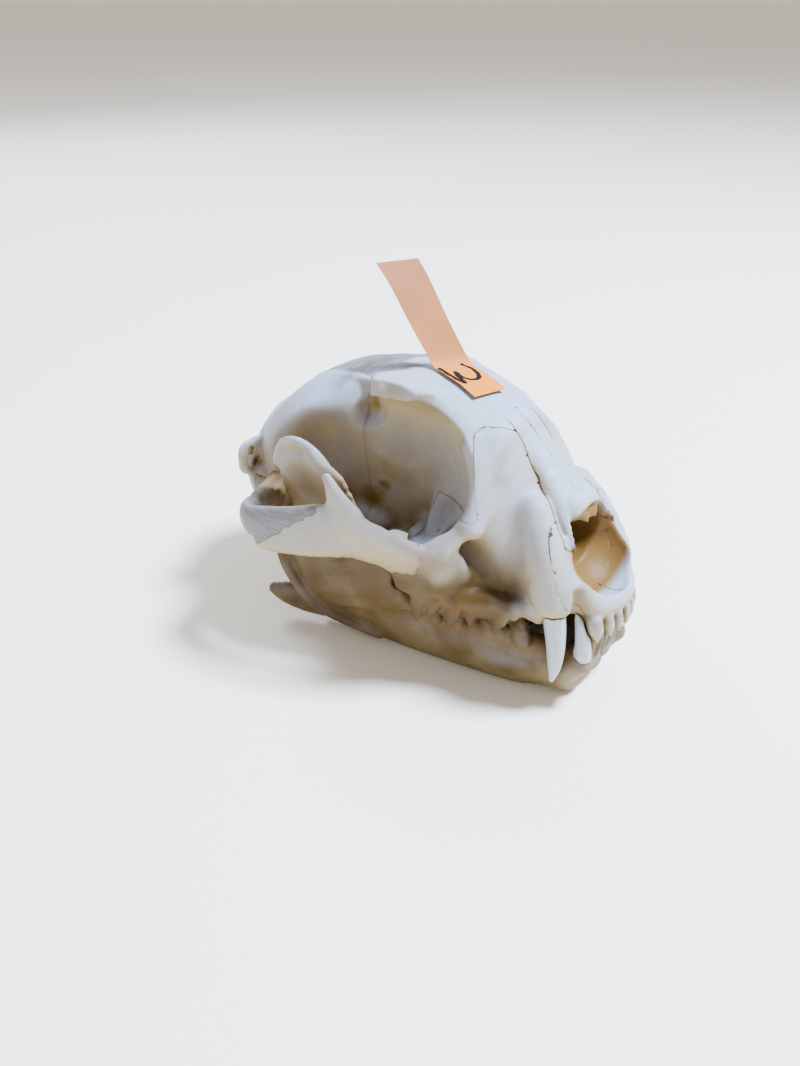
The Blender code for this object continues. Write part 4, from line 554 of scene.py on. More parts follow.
def paint(P, N, name):
    """Stains of the old bone and painted shade: ochre patches, yellowed gum lines, grey weathering; brown painted shade
    in the hollows, low down and in the nose opening, with a painted highlight left pale at the cheek root.
    """
    x, y, z = P.T; p = (x, y, z); ax = np.abs(x)
    w = np.clip(0.5 + 0.5 * wave(p, 0.45, 0.5, 3.0), 0, 1); v = np.clip(0.5 + 0.5 * wave(p, 0.5, 0.8, 1.0), 0, 1)
    n = len(P); gum = np.zeros(n); grey = np.zeros(n); mark = np.zeros(n)
    def most(table, soft):
        out = np.zeros(n)
        for c, r, k in table:
            out = np.maximum(out, spot(P, c, r, soft, k))
        return out
    ochre = most(OCHRE, 0.6); ochre = np.clip(ochre * (0.7 + 0.6 * v), 0, 1)
    # painted shade in brown, from the table of shade spots below
    brown = most(BROWN_SHADE, 0.7) * (0.65 + 0.35 * w)
    low = 0.0 * z
    if 'maxilla' in name and 'pre' not in name:   # painted shade: browner towards the tooth row, behind the root of the fang
        low = 1.0 * ease(-z, -47.0, -34.0) * ease(y, -46.0, -39.0)
        # a painted highlight: the bone is kept pale where the cheek root catches the light
        low = low * (1 - 0.9 * spot(P, (-29.6, -27.6, 38.4), (5.0, 4.6, 4.4), 0.8))
    elif 'mandible' in name:
        # painted shade: the jaw darker towards the bottom
        low = (0.88 + 0.12 * w) * ease(-z, -52.0, -32.0) * (0.7 + 0.3 * ease(y, -55.0, -46.0))
    elif 'jugal' in name:
        # painted shade: darker low down and on downward faces
        low = 0.5 * ease(-z, -36.0, -30.0) + 0.35 * ease(-N[:, 2], 0.1, 0.7)
    brown = np.maximum(brown, low)
    if name in ('braincase', 'occipital') or 'frontal' in name:   # between the lines on the crown
        line = curve(y, (2, 7, 17, 30, 42), (14.0, 11.6, 8.8, 6.0, 1.5))
        behind = 0.9 * np.clip((line + 1.0 - ax) / 2.0, 0, 1) * np.clip((y - 7.0 - 0.55 * (ax - 13.7) * (x < 0)) / 2.0, 0, 1) * np.clip(N[:, 2] * 2, 0, 1)
        brown = np.maximum(brown, behind * (0.6 + 0.4 * v))
        grey = np.maximum(grey, 0.45 * np.clip((ax - line - 1.0) / 3.0, 0, 1) * (y > 12) * w * (z > 48))
    if 'maxilla' in name and 'pre' not in name:
        gum = np.clip(1 - np.abs(z - 27.2) / 2.8, 0, 1) * (y < -10) * (ax > 14)
        # painted shade on downward faces below the tooth row, carried in the gum mask
        inside = np.clip((-N[:, 2] - 0.2) * 1.2, 0, 1) * (z < 30); gum = np.maximum(gum, 0.5 * inside)
        for s_ in (-1, 1):
            gum = np.maximum(gum, spot(P, (s_ * 16.6, -41.8, 27.4), (2.6, 3.2, 3.2), 0.5, 1.0))
    if 'mandible' in name:
        gum = np.clip(1 - np.abs(z - 17.0) / 2.6, 0, 1) * (y < -14) * 0.9
        gum = np.maximum(gum, 0.8 * np.clip(1 - np.abs(z - 15.2) / 2.4, 0, 1) * (y < -52))
    if 'premaxilla' in name:
        gum = 0.7 * np.clip(1 - np.abs(z - 28.0) / 2.0, 0, 1)
    for c, r, k in GREY:
        grey = np.maximum(grey, spot(P, c, r, 0.9, k))
    c = (ax, y, z)
    nose = np.zeros(n)
    if 'maxilla' in name or 'nasal' in name or 'frontal' in name:   # painted shade on the walls of the nose opening
        nose = np.clip(1.9 - np.minimum(ball(c, (0, -54.6, 42.0), (10.5, 8.8, 9.8), pitch=-30), ball(c, (0, -45.0, 44.0), (7.6, 15.0, 7.8), pitch=-20)) / 0.5, 0, 1)
        nose *= np.clip(1.0 + 0.4 * (y + 55.0), 0.0, 1.0)   # the rim itself stays pale
    mark = np.maximum(mark, spot(P, (-19.4, -19.2, 43.6), (0.9, 0.9, 1.8), 0.8, 0.8))
    if 'mandible' in name:   # red-brown spot on the chin
        mark = np.maximum(mark, spot(P, (-12.4, -50.6, 6.4), (1.6, 2.2, 1.3), 0.9, 0.45))
    return {'ochre': ochre, 'gum': gum * (0.35 + 0.65 * w), 'nose_cavity_shade': nose, 'grey': grey, 'brown': brown, 'mark': mark}

# (centre, radii, strength), skull frame in mm
OCHRE = (((-14.0, 5.7, 67.6), (2.6, 2.2, 3.6), 1.0), ((-13.6, 7.5, 70.0), (1.6, 1.6, 2.2), 0.9), ((-13.5, 7.5, 40.6), (4.0, 4.4, 4.2), 1.0), ((-12.9, 3.4, 45.1), (2.6, 2.6, 2.0), 0.9),
         ((-13.2, 5.2, 43.0), (2.6, 3.0, 2.0), 0.6), ((-38.0, -1.0, 58.0), (2.0, 2.2, 3.0), 0.25), ((-9.6, -52.4, 9.6), (1.6, 1.6, 1.4), 0.6), ((-16.4, -42.6, 28.6), (1.6, 2.4, 1.8), 0.7),
         ((-26.0, -23.8, 29.6), (2.6, 4.4, 2.2), 0.55), ((-21.6, -29.4, 29.0), (2.2, 4.0, 1.6), 0.4), ((-26.6, 33.0, 45.0), (3.0, 3.0, 3.0), 0.3))
# painted shade spots, brown: orbit walls, under the cheek arches, the recess below the orbit, the jaw's muscle hollow,
# under the palate, the back of the skull and other recesses
BROWN_SHADE = (((-30.0, -20.0, 33.6), (8.0, 11.0, 6.0), 0.75), ((-26.0, -25.6, 30.0), (5.0, 8.0, 4.0), 0.9), ((30.0, -20.0, 33.6), (8.0, 11.0, 6.0), 0.6), ((-18.6, -34.6, 37.6), (5.0, 8.0, 6.5), 0.85),
         ((18.6, -34.6, 37.6), (5.0, 8.0, 6.5), 0.8), ((-12.6, -4.0, 52.0), (9.0, 24.0, 19.0), 0.42), ((12.6, -4.0, 52.0), (9.0, 24.0, 19.0), 0.42), ((-28.0, 8.0, 22.0), (5.0, 18.0, 15.0), 0.75),
         ((28.0, 8.0, 22.0), (5.0, 18.0, 15.0), 0.6), ((-33.0, 14.0, 49.0), (4.5, 8.5, 10.0), 0.5), ((-16.0, -18.5, 46.0), (8.0, 9.0, 11.0), 0.5), ((16.0, -18.5, 46.0), (8.0, 9.0, 11.0), 0.5), ((-43.0, 23.0, 35.0), (5.0, 6.0, 3.6), 0.6), ((0.0, 0.0, 28.0), (22.0, 36.0, 6.0), 0.45),
         ((-12.6, -51.0, 37.0), (2.6, 3.4, 6.0), 0.35), ((-17.0, -30.0, 12.0), (6.0, 22.0, 5.0), 0.25), ((0.0, 50.0, 42.0), (12.0, 8.0, 8.0), 0.6), ((-12.0, 15.0, 66.0), (8.0, 10.0, 9.0), 0.5), ((-14.0, 8.4, 65.6), (4.4, 4.6, 6.0), 0.75), ((-30.0, 18.0, 40.0), (5.0, 12.0, 10.0), 0.5))
GREY = (((-13.8, -32.4, 59.0), (3.4, 3.4, 2.6), 0.7), ((-11.9, -38.8, 55.0), (2.6, 3.0, 3.0), 0.7), ((-15.0, -44.5, 45.0), (2.0, 4.0, 8.0), 0.35), ((-17.0, -30.0, 50.0), (6.0, 8.0, 14.0), 0.22), ((-16.0, -38.0, 11.0), (4.0, 10.0, 3.0), 0.5))

# ---------------------------------------------------------------- materials
def nodes(name, rough):
    m = bpy.data.materials.new(name); m.use_nodes = True; t = m.node_tree
    b = t.nodes['Principled BSDF']; b.inputs['Roughness'].default_value = rough
    return m, t, b

def ramp(t, fac, stops):
    r = t.nodes.new('ShaderNodeValToRGB'); e = r.color_ramp.elements
    while len(e) < len(stops):
        e.new(0.5)
    for k, (pos, c) in zip(e, stops):
        k.position = pos; k.color = (*c, 1)
    t.links.new(fac, r.inputs['Fac']); return r.outputs['Color']

def noise(t, scale, detail=4.0, rough=0.55, dist=0.0, vec=None):
    n = t.nodes.new('ShaderNodeTexNoise'); n.inputs['Scale'].default_value = scale; n.inputs['Detail'].default_value = detail
    n.inputs['Roughness'].default_value = rough; n.inputs['Distortion'].default_value = dist
    if vec is None:
        c = t.nodes.new('ShaderNodeTexCoord'); vec = c.outputs['Object']
    t.links.new(vec, n.inputs['Vector']); return n.outputs['Fac']

def mix(t, fac, a, b, mode='MIX'):
    m = t.nodes.new('ShaderNodeMix'); m.data_type = 'RGBA'; m.blend_type = mode
    for sock, v in ((m.inputs[0], fac), (m.inputs[6], a), (m.inputs[7], b)):
        if isinstance(v, bpy.types.NodeSocket):
            t.links.new(v, sock)
        elif isinstance(v, (int, float)):
            sock.default_value = v
        else:
            sock.default_value = (*v, 1)
    return m.outputs[2]

def calc(t, op, a, b=0.0, c=None, clamp=False):
    m = t.nodes.new('ShaderNodeMath'); m.operation = op; m.use_clamp = clamp
    for k, v in enumerate((a, b) if c is None else (a, b, c)):
        if isinstance(v, bpy.types.NodeSocket):
            t.links.new(v, m.inputs[k])
        else:
            m.inputs[k].default_value = v
    return m.outputs[0]

def attr(t, name):
    a = t.nodes.new('ShaderNodeAttribute'); a.attribute_name = name; return a.outputs['Fac']

def seam_line(t, cells, lo, hi, half, n2):
    """1 on a thin dirty line along the border of the cells, between the limits lo and hi of (|x|, y, z) in mm."""
    c = t.nodes.new('ShaderNodeTexCoord'); sp = t.nodes.new('ShaderNodeSeparateXYZ'); t.links.new(c.outputs['Object'], sp.inputs[0])
    ax = [calc(t, 'MULTIPLY', calc(t, 'ABSOLUTE', sp.outputs[0]), 1000.0)] + [calc(t, 'MULTIPLY_ADD', sp.outputs[i], 1000.0, -float(SHIFT[i])) for i in (1, 2)]
    d = None
    for q, n in cells:
        n = np.array(n, float); n /= np.linalg.norm(n)
        v = calc(t, 'MULTIPLY_ADD', ax[0], float(n[0]), -float(n @ np.array(q)))
        v = calc(t, 'MULTIPLY_ADD', ax[1], float(n[1]), v); v = calc(t, 'MULTIPLY_ADD', ax[2], float(n[2]), v)
        d = v if d is None else calc(t, 'MINIMUM', d, v)
    d = calc(t, 'ADD', d, calc(t, 'MULTIPLY_ADD', n2, 0.24, -0.12))
    f = calc(t, 'MULTIPLY_ADD', calc(t, 'ABSOLUTE', d), -1.6 / half, 1.6, clamp=True)
    for i in range(3):
        if lo[i] is not None:
            f = calc(t, 'MULTIPLY', f, calc(t, 'MULTIPLY_ADD', ax[i], 0.7, -0.7 * lo[i], clamp=True))
        if hi[i] is not None:
            f = calc(t, 'MULTIPLY', f, calc(t, 'MULTIPLY_ADD', ax[i], -0.7, 0.7 * hi[i], clamp=True))
    return f

def bone(name, base=(0.37, 0.285, 0.145), top_light_colour=(0.31, 0.47, 0.79), occlusion_shade_colour=(0.170, 0.110, 0.038), deep_shade_colour=(0.085, 0.050, 0.016), rough=0.5, streak=0.0):
    m, t, b = nodes(name, rough)
    n1 = noise(t, 55.0, 5.0, 0.6, 0.4); n2 = noise(t, 420.0, 4.0, 0.6); n3 = noise(t, 1900.0, 3.0, 0.7)
    geo = t.nodes.new('ShaderNodeNewGeometry'); sep = t.nodes.new('ShaderNodeSeparateXYZ'); t.links.new(geo.outputs['Normal'], sep.inputs[0])
    top_light = calc(t, 'MULTIPLY_ADD', sep.outputs['Z'], 0.8, 0.28, clamp=True)   # painted light: upward faces tinted pale blue-white, as if lit from above
    top_light_mix = calc(t, 'MULTIPLY', ramp(t, n1, ((0.30, (0.45, 0.45, 0.45)), (0.70, (1, 1, 1)))), top_light)
    col = mix(t, top_light_mix, base, top_light_colour)
    col = mix(t, calc(t, 'MULTIPLY', ramp(t, n2, ((0.42, (0, 0, 0)), (0.75, (1, 1, 1)))), 0.25), col, (0.27, 0.21, 0.13))
    if streak:   # fine grain along the bone
        c = t.nodes.new('ShaderNodeTexCoord'); k = t.nodes.new('ShaderNodeMapping'); k.inputs['Scale'].default_value = (1.0, 0.12, 1.0); k.inputs['Rotation'].default_value = (0.12, 0, 0)
        t.links.new(c.outputs['Object'], k.inputs['Vector']); n4 = noise(t, 1500.0, 4.0, 0.65, 0.3, k.outputs['Vector'])
        col = mix(t, calc(t, 'MULTIPLY', ramp(t, n4, ((0.40, (0, 0, 0)), (0.62, (1, 1, 1)))), streak), col, (0.10, 0.095, 0.11))
    # painted shade: the occlusion darkens hollows and creases to a warm brown
    painted_occlusion = attr(t, 'hollow')
    edge = calc(t, 'ADD', painted_occlusion, calc(t, 'MULTIPLY', calc(t, 'SUBTRACT', n1, 0.5), 0.35))
    occlusion_shade_mix = ramp(t, edge, ((0.22, (0, 0, 0)), (0.5, (0.75, 0.75, 0.75)), (0.8, (1, 1, 1))))
    col = mix(t, calc(t, 'MULTIPLY', occlusion_shade_mix, 0.85), col, occlusion_shade_colour)
    # painted shade in brown, with the brown band between the lines on the crown
    brown_shade_mix = calc(t, 'MULTIPLY', attr(t, 'brown'), calc(t, 'MULTIPLY_ADD', n1, 0.8, 0.56, clamp=True))
    col = mix(t, brown_shade_mix, col, (0.064, 0.035, 0.0075))
    # painted shade: the most closed-in hollows go near black
    deep_shade_mix = ramp(t, edge, ((0.62, (0, 0, 0)), (0.98, (1, 1, 1))))
    col = mix(t, calc(t, 'MULTIPLY', deep_shade_mix, 0.75), col, deep_shade_colour)
    col = mix(t, calc(t, 'MULTIPLY', attr(t, 'grey'), 0.6), col, (0.14, 0.15, 0.22))
    # painted shade in the nose opening
    col = mix(t, attr(t, 'nose_cavity_shade'), col, (0.155, 0.085, 0.022))
    # yellowed gum lines, with painted shade on the undersides by the tooth row
    gf = calc(t, 'MULTIPLY', attr(t, 'gum'), calc(t, 'MULTIPLY_ADD', n2, 1.2, 0.15, clamp=True))
    col = mix(t, gf, col, (0.13, 0.065, 0.012))
    of_ = calc(t, 'MULTIPLY', attr(t, 'ochre'), calc(t, 'MULTIPLY_ADD', n2, 0.7, 0.55, clamp=True))
    col = mix(t, of_, col, (0.15, 0.075, 0.0015))
    col = mix(t, attr(t, 'mark'), col, (0.05, 0.035, 0.025))
    if 'maxilla' in name or 'nasal' in name or 'frontal' in name:
        if 'premaxilla' not in name:   # cream strip and dark line along the side of the bridge
            wide = seam_line(t, [NASAL[0], NASAL_TIP[0]], (None, None, 47.0), (None, -27.0, None), 0.9, n1)
            col = mix(t, calc(t, 'MULTIPLY', wide, 0.45), col, (0.36, 0.27, 0.15))
            col = mix(t, calc(t, 'MULTIPLY', seam_line(t, [NASAL[0], NASAL_TIP[0]], (None, None, 46.0), (None, -27.0, None), 0.19, n2), 0.92), col, (0.035, 0.022, 0.014))
        if 'maxilla' in name:
            col = mix(t, calc(t, 'MULTIPLY', seam_line(t, [PREMAX[0]], (10.9, None, 43.5), (None, None, 51.0), 0.17, n2), 0.85), col, (0.04, 0.026, 0.016))
    t.links.new(col, b.inputs['Base Color'])
    rr = calc(t, 'ADD', calc(t, 'MULTIPLY', n2, 0.22), calc(t, 'MULTIPLY', n1, 0.12)); rr = calc(t, 'ADD', rr, rough - 0.17)
    t.links.new(rr, b.inputs['Roughness'])
    b.inputs['Specular IOR Level'].default_value = 0.2   # dry bone
    b.inputs['Subsurface Weight'].default_value = 0.08
    b.inputs['Subsurface Radius'].default_value = (0.0012, 0.0009, 0.0006)
    b.inputs['Subsurface Scale'].default_value = 1.0
    bu = t.nodes.new('ShaderNodeBump'); bu.inputs['Strength'].default_value = 0.45; bu.inputs['Distance'].default_value = 0.0002
    hsum = calc(t, 'ADD', calc(t, 'MULTIPLY', n2, 0.7), calc(t, 'MULTIPLY', n3, 0.35))
    if streak:
        hsum = calc(t, 'ADD', hsum, calc(t, 'MULTIPLY', n4, 1.2))
    t.links.new(hsum, bu.inputs['Height']); t.links.new(bu.outputs['Normal'], b.inputs['Normal'])
    return m

def tooth(name):
    m, t, b = nodes(name, 0.3)
    n1 = noise(t, 240.0, 4.0, 0.5, 0.3)
    w = t.nodes.new('ShaderNodeTexWave'); w.bands_direction = 'X'; w.inputs['Scale'].default_value = 260.0; w.inputs['Distortion'].default_value = 2.0
    c = t.nodes.new('ShaderNodeTexCoord'); t.links.new(c.outputs['Object'], w.inputs['Vector'])
    col = mix(t, n1, (0.34, 0.42, 0.55), (0.40, 0.40, 0.38))
    col = mix(t, calc(t, 'MULTIPLY', w.outputs['Fac'], 0.10), col, (0.30, 0.26, 0.19))
    col = mix(t, calc(t, 'MULTIPLY', attr(t, 'gum'), 0.75), col, (0.22, 0.14, 0.05))
    t.links.new(col, b.inputs['Base Color'])
    t.links.new(calc(t, 'ADD', calc(t, 'MULTIPLY', n1, 0.2), 0.2), b.inputs['Roughness'])
    b.inputs['Coat Weight'].default_value = 0.25; b.inputs['Coat Roughness'].default_value = 0.2
    b.inputs['Subsurface Weight'].default_value = 0.15
    b.inputs['Subsurface Radius'].default_value = (0.0014, 0.0012, 0.0010); b.inputs['Subsurface Scale'].default_value = 1.0
    bu = t.nodes.new('ShaderNodeBump'); bu.inputs['Strength'].default_value = 0.2; bu.inputs['Distance'].default_value = 0.00015
    t.links.new(w.outputs['Fac'], bu.inputs['Height']); t.links.new(bu.outputs['Normal'], b.inputs['Normal'])
    return m

# ---------------------------------------------------------------- bones of the head
V, o = grid(upper, (-48, -66, 17), (48, 60, 81), H)
KEEP = np.flatnonzero(V.ravel() < 8.99); IJK = np.stack(np.unravel_index(KEEP, V.shape), 1)
PX = tuple(o[i] + H * IJK[:, i] for i in range(3)); WV = wave(PX, 1.0, 1.4, 0.0)
REST = V.ravel()[KEEP]

def surface(W, o=o, h=H, ijk=IJK):
    """Mesh of the values W at the grid nodes ijk, over their own box only."""
    m = ijk[W < 0]; lo, hi = m.min(0) - 2, m.max(0) + 3
    inside = ((ijk >= lo) & (ijk < hi)).all(1); D = np.full(hi - lo, 9.0); k = ijk[inside] - lo
    D[k[:, 0], k[:, 1], k[:, 2]] = W[inside]
    return whole(*nets(well(D), o + h * lo, h))

pieces = {}; rest_cut = []
def ease(v, a, b):
    t = np.clip((v - a) / (b - a), 0, 1); return t * t * (3 - 2 * t)
TIGHT = 0.005              # half width of a joint that is grown together, mm
def still(p):
    return TIGHT + 0.0 * p[0]
def open_cheek(p):         # ragged joint in the middle of the cheek arch
    return TIGHT + 0.04 * ease(np.abs(p[0]), 36.5, 38.5)
def open_nose(p):          # joint along the side of the bridge
    return TIGHT + 0.03 * ease(-p[1], 27.5, 30.0) * ease(p[2], 44.0, 47.0)
def open_front(p):         # short crack at the side of the nose opening
    return TIGHT + 0.03 * ease(p[2], 43.0, 46.0) * (1 - ease(p[2], 50.5, 52.5)) * ease(np.abs(p[0]), 10.5, 11.5)
def open_face(p):          # crack round the upper end of the upper jaw bone
    return TIGHT + 0.075 * ease(p[2], 59.0, 61.0) * ease(-p[1], 22.0, 23.0)
def cut_off(W, cuts, name, cells, side, wob, gap=still):
    """Takes the region out of W as a bone of its own and returns what is left."""
    r = region(cells, side, wob); g = r(PX, WV); e = gap(PX)
    pieces[name] = (np.maximum(W, g + e), cuts + [lambda p: r(p) + gap(p)])
    return np.maximum(W, e - g), cuts + [lambda p: gap(p) - r(p)]
for side, tag in ((1, 'left'), (-1, 'right')):
    for nm, cells, wob, gap in (('jugal', [JUGAL_TIP, JUGAL_REAR], 0.25, open_cheek), ('temporal', [TEMPORAL], 0.0, still), ('ear_capsule', [BULLA], 0.0, still)):
        REST, rest_cut = cut_off(REST, rest_cut, nm + '_' + tag, cells, side, wob, gap)
for side, tag in ((1, 'left'), (-1, 'right')):
    REST, rest_cut = cut_off(REST, rest_cut, 'frontal_' + tag, [FACE], side, 0.0)
    front, cuts = pieces['frontal_' + tag]
    for nm, cells, wob, gap in (('nasal', [NASAL, NASAL_TIP], 0.05, open_nose), ('premaxilla', [PREMAX], 0.05, open_front), ('maxilla', [MAX_UP, MAX_LOW], 0.05, open_face)):
        front, cuts = cut_off(front, cuts, nm + '_' + tag, cells, side, wob, gap)
    pieces['frontal_' + tag] = (front, cuts)
REST, rest_cut = cut_off(REST, rest_cut, 'occipital', [BACK], 1, 0.0)
pieces['braincase'] = (REST, rest_cut)
for name, (W, cutters) in pieces.items():
    kw = {}
    if 'temporal' in name:
        kw = dict(base=(0.20, 0.195, 0.205), top_light_colour=(0.18, 0.20, 0.255), streak=0.6)
    P, Q = surface(W)
    make(name, crisp(P, upper, inter(*cutters), H), Q, name, bone(name, **kw))

# ---------------------------------------------------------------- lower jaw and fangs
clear = lambda p: np.minimum(upper(p), upper_canine(p))
def free_jaw(p):
    return smax(mandible(p), 0.75 - clear(p), 0.2)
V2, o2 = grid(free_jaw, (-42, -63, -3), (42, 38, 64), H)
K2 = np.flatnonzero(V2.ravel() < 8.99); I2 = np.stack(np.unravel_index(K2, V2.shape), 1); V2 = V2.ravel()[K2]
x2, z2 = o2[0] + H * I2[:, 0], o2[2] + H * I2[:, 2]
for side, tag in ((1, 'left'), (-1, 'right')):
    P, Q = surface(np.maximum(np.maximum(V2, 0.15 - side * x2), FOOT - z2), o2, H, I2)
    C = (lambda s: lambda p: np.maximum(0.15 - s * p[0], FOOT - p[2]))(side)
    make('mandible_' + tag, crisp(P, free_jaw, C, H), Q, 'mandible_' + tag, bone('mandible_' + tag))

HF = 0.3
def fang(name, fn, host, lo, hi):
    f = lambda p: smax(fn(p), 0.18 - host(p), 0.1)
    W, O = grid(f, lo, hi, HF)
    P, Q = whole(*nets(well(W), O, HF))
    return make(name, P, Q, name, tooth(name), 60)
for tag, s in (('left', 1), ('right', -1)):
    x0, x1 = sorted((6 * s, 20 * s))
    fang('upper_canine_' + tag, upper_canine, upper, (x0, -58, 5), (x1, -43, 36))
    x0, x1 = sorted((4.5 * s, 15.5 * s))
    fang('lower_canine_' + tag, lambda p: smax(lower_canine(p), 0.4 - clear(p), 0.1), mandible, (x0, -62, 8), (x1, -49, 33))

# ---------------------------------------------------------------- paper strip with its numeral
STRIP = ((-1.75, -20.3, 73.0, 0.955, -0.290, 0.0, 4.6), (-0.7, -16.6, 73.8, 0.87, -0.49, -0.04, 4.8), (0.9, -10.8, 74.9, 0.81, -0.58, -0.02, 4.9), (2.4, -5.9, 76.0, 0.77, -0.64, 0.02, 4.9),
         (2.65, -3.4, 78.4, 0.75, -0.66, 0.06, 4.7), (1.15, 0.95, 86.0, 0.73, -0.68, 0.10, 4.75), (-0.6, 5.3, 94.6, 0.73, -0.68, 0.10, 4.9), (-2.0, 8.4, 99.9, 0.73, -0.68, 0.08, 5.1))
def strip_rows(n):
    rows = spline([tuple(r) for r in STRIP], n)
    for i in range(len(rows)):   # the strip lies on the forehead, never inside it
        a = rows[i, 3:6] / np.linalg.norm(rows[i, 3:6])
        for k in range(12):
            q = rows[i, :3] + a * np.linspace(-1, 1, 7)[:, None] * rows[i, 6]
            rows[i, 2] += 0.8 * max(0.0, 0.85 - float(np.min(upper((q[:, 0], q[:, 1], q[:, 2])))))
    return rows

def near(u, v, line, r):
    """Distance of (u, v) to the stroke line, less its half width r."""
    d = np.full(np.shape(u), 1e9)
    for (a, b), (c, e) in zip(line[:-1], line[1:]):
        L = (c - a) ** 2 + (e - b) ** 2; t = np.clip(((u - a) * (c - a) + (v - b) * (e - b)) / L, 0, 1)
        d = np.minimum(d, np.hypot(u - a - t * (c - a), v - b - t * (e - b)))
    return d - r

def numeral(u, v):
    """A plain hand-written 3, 7 mm high along v, its long bowls towards +u."""
    pts = [(-4.5, 4.0), (-3.0, 4.55), (-1.2, 4.85), (1.0, 4.6), (2.7, 3.8), (3.8, 2.6), (3.9, 1.1), (3.3, 0.3), (2.3, -0.2), (0.9, -0.2), (-0.6, -0.1), (1.0, -0.75), (2.9, -1.05), (4.4, -1.3), (5.2, -1.7), (3.4, -2.2), (0.76, -2.35), (-1.6, -2.5), (-3.4, -2.45)]
    q = spline(pts, 5)
    return near(u, v, [tuple(k) for k in q], 0.0)

NU = 68
rows = strip_rows(34)
cen, acr, hw = rows[:, :3], rows[:, 3:6], rows[:, 6]
tan = np.gradient(cen, axis=0); tan /= np.linalg.norm(tan, axis=1)[:, None]
acr = acr / np.linalg.norm(acr, axis=1)[:, None]
nor = np.cross(acr, tan); nor /= np.linalg.norm(nor, axis=1)[:, None]
run = np.concatenate([[0], np.cumsum(np.linalg.norm(np.diff(cen, axis=0), axis=1))])
THICK = 0.14
vs, uu, vv = [], [], []
for side in (1, -1):
    for i in range(len(rows)):
        u = np.linspace(-1, 1, NU + 1) * hw[i]
        lift = 0.10 * np.sin(0.35 * run[i]) * (u / 4.8) ** 2 * min(1.0, run[i] / 14.0)
        vs.append(cen[i] + acr[i] * u[:, None] + nor[i] * (side * THICK / 2 + lift)[:, None])
        uu.append(u); vv.append(np.full(NU + 1, run[i]))
P = np.vstack(vs); U = np.concatenate(uu); W_ = np.concatenate(vv)
R, C = len(rows), NU + 1
idx = np.arange(R * C).reshape(R, C)
top = np.stack([idx[:-1, :-1], idx[:-1, 1:], idx[1:, 1:], idx[1:, :-1]], -1).reshape(-1, 4)
bot = (top + R * C)[:, ::-1]
def rim(a):
    return np.stack([a[:-1], a[:-1] + R * C, a[1:] + R * C, a[1:]], -1)
Q = np.vstack([top, bot, rim(idx[0, :]), rim(idx[:, -1]), rim(idx[-1, ::-1]), rim(idx[::-1, 0])])
me = bpy.data.meshes.new('paper_label'); me.from_pydata(((P + SHIFT) * MM).tolist(), [], Q.tolist()); me.update()
me.shade_smooth(); me.set_sharp_from_angle(angle=math.radians(50))
# the numeral reads from the side, its top towards the animal's left
nu, nv = 10.3 - W_, U + 1.75
d = numeral(nu, nv) - 0.56 - 0.08 * np.sin(2.1 * nu + 1.0) * np.sin(1.7 * nv)
ink = np.clip(0.5 - d / 0.5, 0, 1); ink[R * C:] = 0
at = me.attributes.new('ink', 'FLOAT', 'POINT'); at.data.foreach_set('value', ink.astype(np.float32))
at = me.attributes.new('run', 'FLOAT', 'POINT'); at.data.foreach_set('value', (W_ / run[-1]).astype(np.float32))
m, t, b = nodes('paper_label', 0.85)
n1 = noise(t, 900.0, 5.0, 0.7); n2 = noise(t, 90.0, 3.0)
# orange at the stuck end, paler pink towards the raised end: partly the flag's own two tones, partly painted shade on
# the raised end
col = ramp(t, attr(t, 'run'), ((0.0, (0.72, 0.215, 0.010)), (0.24, (0.70, 0.22, 0.020)), (0.42, (0.56, 0.22, 0.08)), (1.0, (0.48, 0.20, 0.125))))
col = mix(t, calc(t, 'MULTIPLY', n2, 0.12), col, (0.60, 0.26, 0.09))
col = mix(t, calc(t, 'MULTIPLY', n1, 0.12), col, (0.40, 0.20, 0.09))
inkf = ramp(t, attr(t, 'ink'), ((0.42, (0, 0, 0)), (0.58, (1, 1, 1))))
col = mix(t, inkf, col, (0.006, 0.003, 0.003))
t.links.new(col, b.inputs['Base Color'])
t.links.new(calc(t, 'ADD', calc(t, 'MULTIPLY', n1, 0.15), 0.75), b.inputs['Roughness'])
bu = t.nodes.new('ShaderNodeBump'); bu.inputs['Strength'].default_value = 0.25; bu.inputs['Distance'].default_value = 0.0001
t.links.new(n1, bu.inputs['Height']); t.links.new(bu.outputs['Normal'], b.inputs['Normal'])
b.inputs['Specular IOR Level'].default_value = 0.2
me.materials.append(m)
lab = link('paper_label', me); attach(lab, 'root'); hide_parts('paper_label')


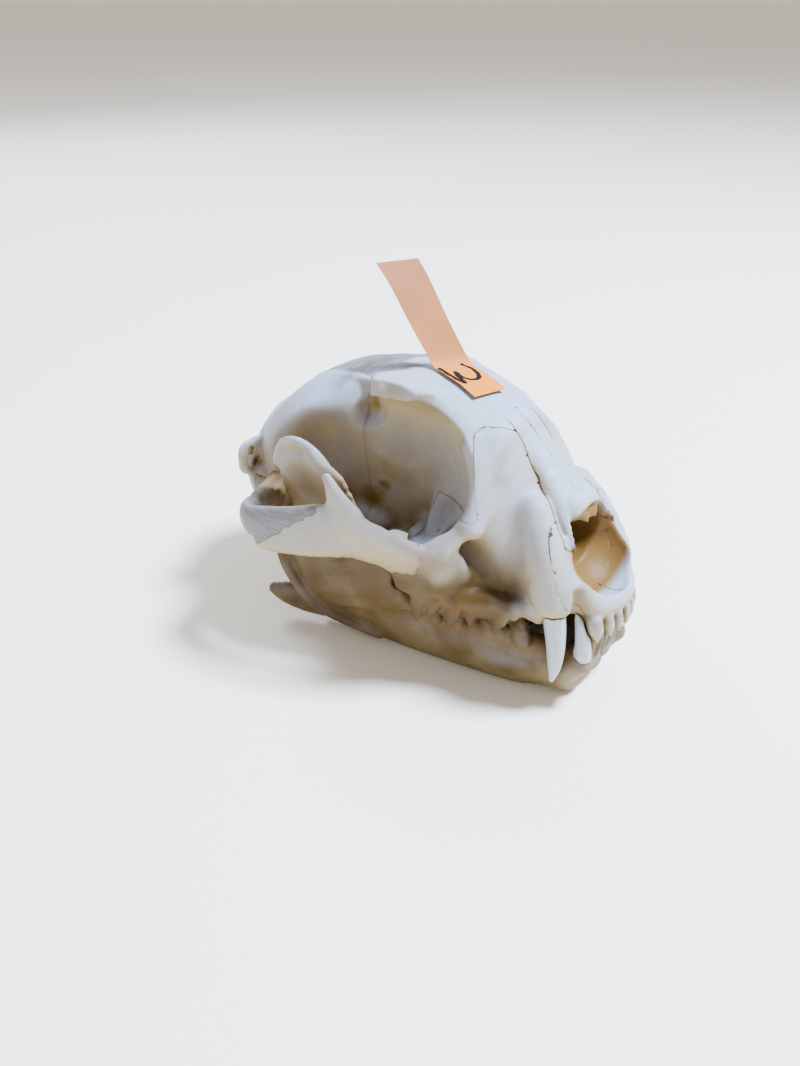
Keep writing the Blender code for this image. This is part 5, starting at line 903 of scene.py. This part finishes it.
# ---------------------------------------------------------------- camera, floor and light
AZ, EL, DIST, TX, TZ, FPX = -50.0, 32.0, 234.0, -7.0, -12.3, 860.0
a, e = math.radians(AZ), math.radians(EL)
back = np.array([math.sin(a) * math.cos(e), -math.cos(a) * math.cos(e), math.sin(e)])
right = np.array([math.cos(a), math.sin(a), 0.0]); up = np.cross(back, right)
loc = (np.array([0, 0, 40.0]) + right * TX + up * TZ + back * DIST + SHIFT) * MM
cam = bpy.data.cameras.new('camera'); cam.sensor_width = 36.0; cam.sensor_fit = 'AUTO'; cam.lens = FPX * 36.0 / 1066.0
cam.clip_start = 0.01; cam.clip_end = 20
co = bpy.data.objects.new('camera', cam); bpy.context.scene.collection.objects.link(co)
M = Matrix.Identity(4)
for i, v in enumerate((right, up, back)):
    for k in range(3):
        M[k][i] = v[k]
for k in range(3):
    M[k][3] = loc[k]
co.matrix_world = M; bpy.context.scene.camera = co

me = bpy.data.meshes.new('floor'); s = 40.0
me.from_pydata([(-s, -s, 0), (s, -s, 0), (s, s, 0), (-s, s, 0)], [], [(0, 1, 2, 3)]); me.update()
floor = link('floor', me)
fm, ft, fb = nodes('floor', 0.8); n = noise(ft, 6.0, 3.0)
ft.links.new(mix(ft, n, (0.94, 0.93, 0.915), (0.95, 0.945, 0.935)), fb.inputs['Base Color']); me.materials.append(fm)

def area(name, pos, target, size, power, colour):
    l = bpy.data.lights.new(name, 'AREA'); l.shape = 'DISK'; l.size = size; l.energy = power; l.color = colour
    ob = bpy.data.objects.new(name, l); bpy.context.scene.collection.objects.link(ob)
    ob.location = pos; d = Vector(target) - Vector(pos); ob.rotation_euler = d.to_track_quat('-Z', 'Y').to_euler()
    return ob
area('key', (0.30, -0.45, 0.95), (0, 0, 0.04), 0.28, 54.0, (0.80, 0.90, 1.0))
area('fill', (-0.9, -0.3, 0.35), (0, 0, 0.04), 0.6, 1.6, (1.0, 0.86, 0.70))
area('rim', (0.3, 0.9, 0.7), (0, 0, 0.05), 0.5, 11.0, (0.86, 0.93, 1.0))
w = bpy.data.worlds.new('world'); bpy.context.scene.world = w; w.use_nodes = True
w.node_tree.nodes['Background'].inputs['Color'].default_value = (1.0, 0.90, 0.77, 1); w.node_tree.nodes['Background'].inputs['Strength'].default_value = 0.75

print('SCENE SECONDS', round(time.time() - T0, 1))
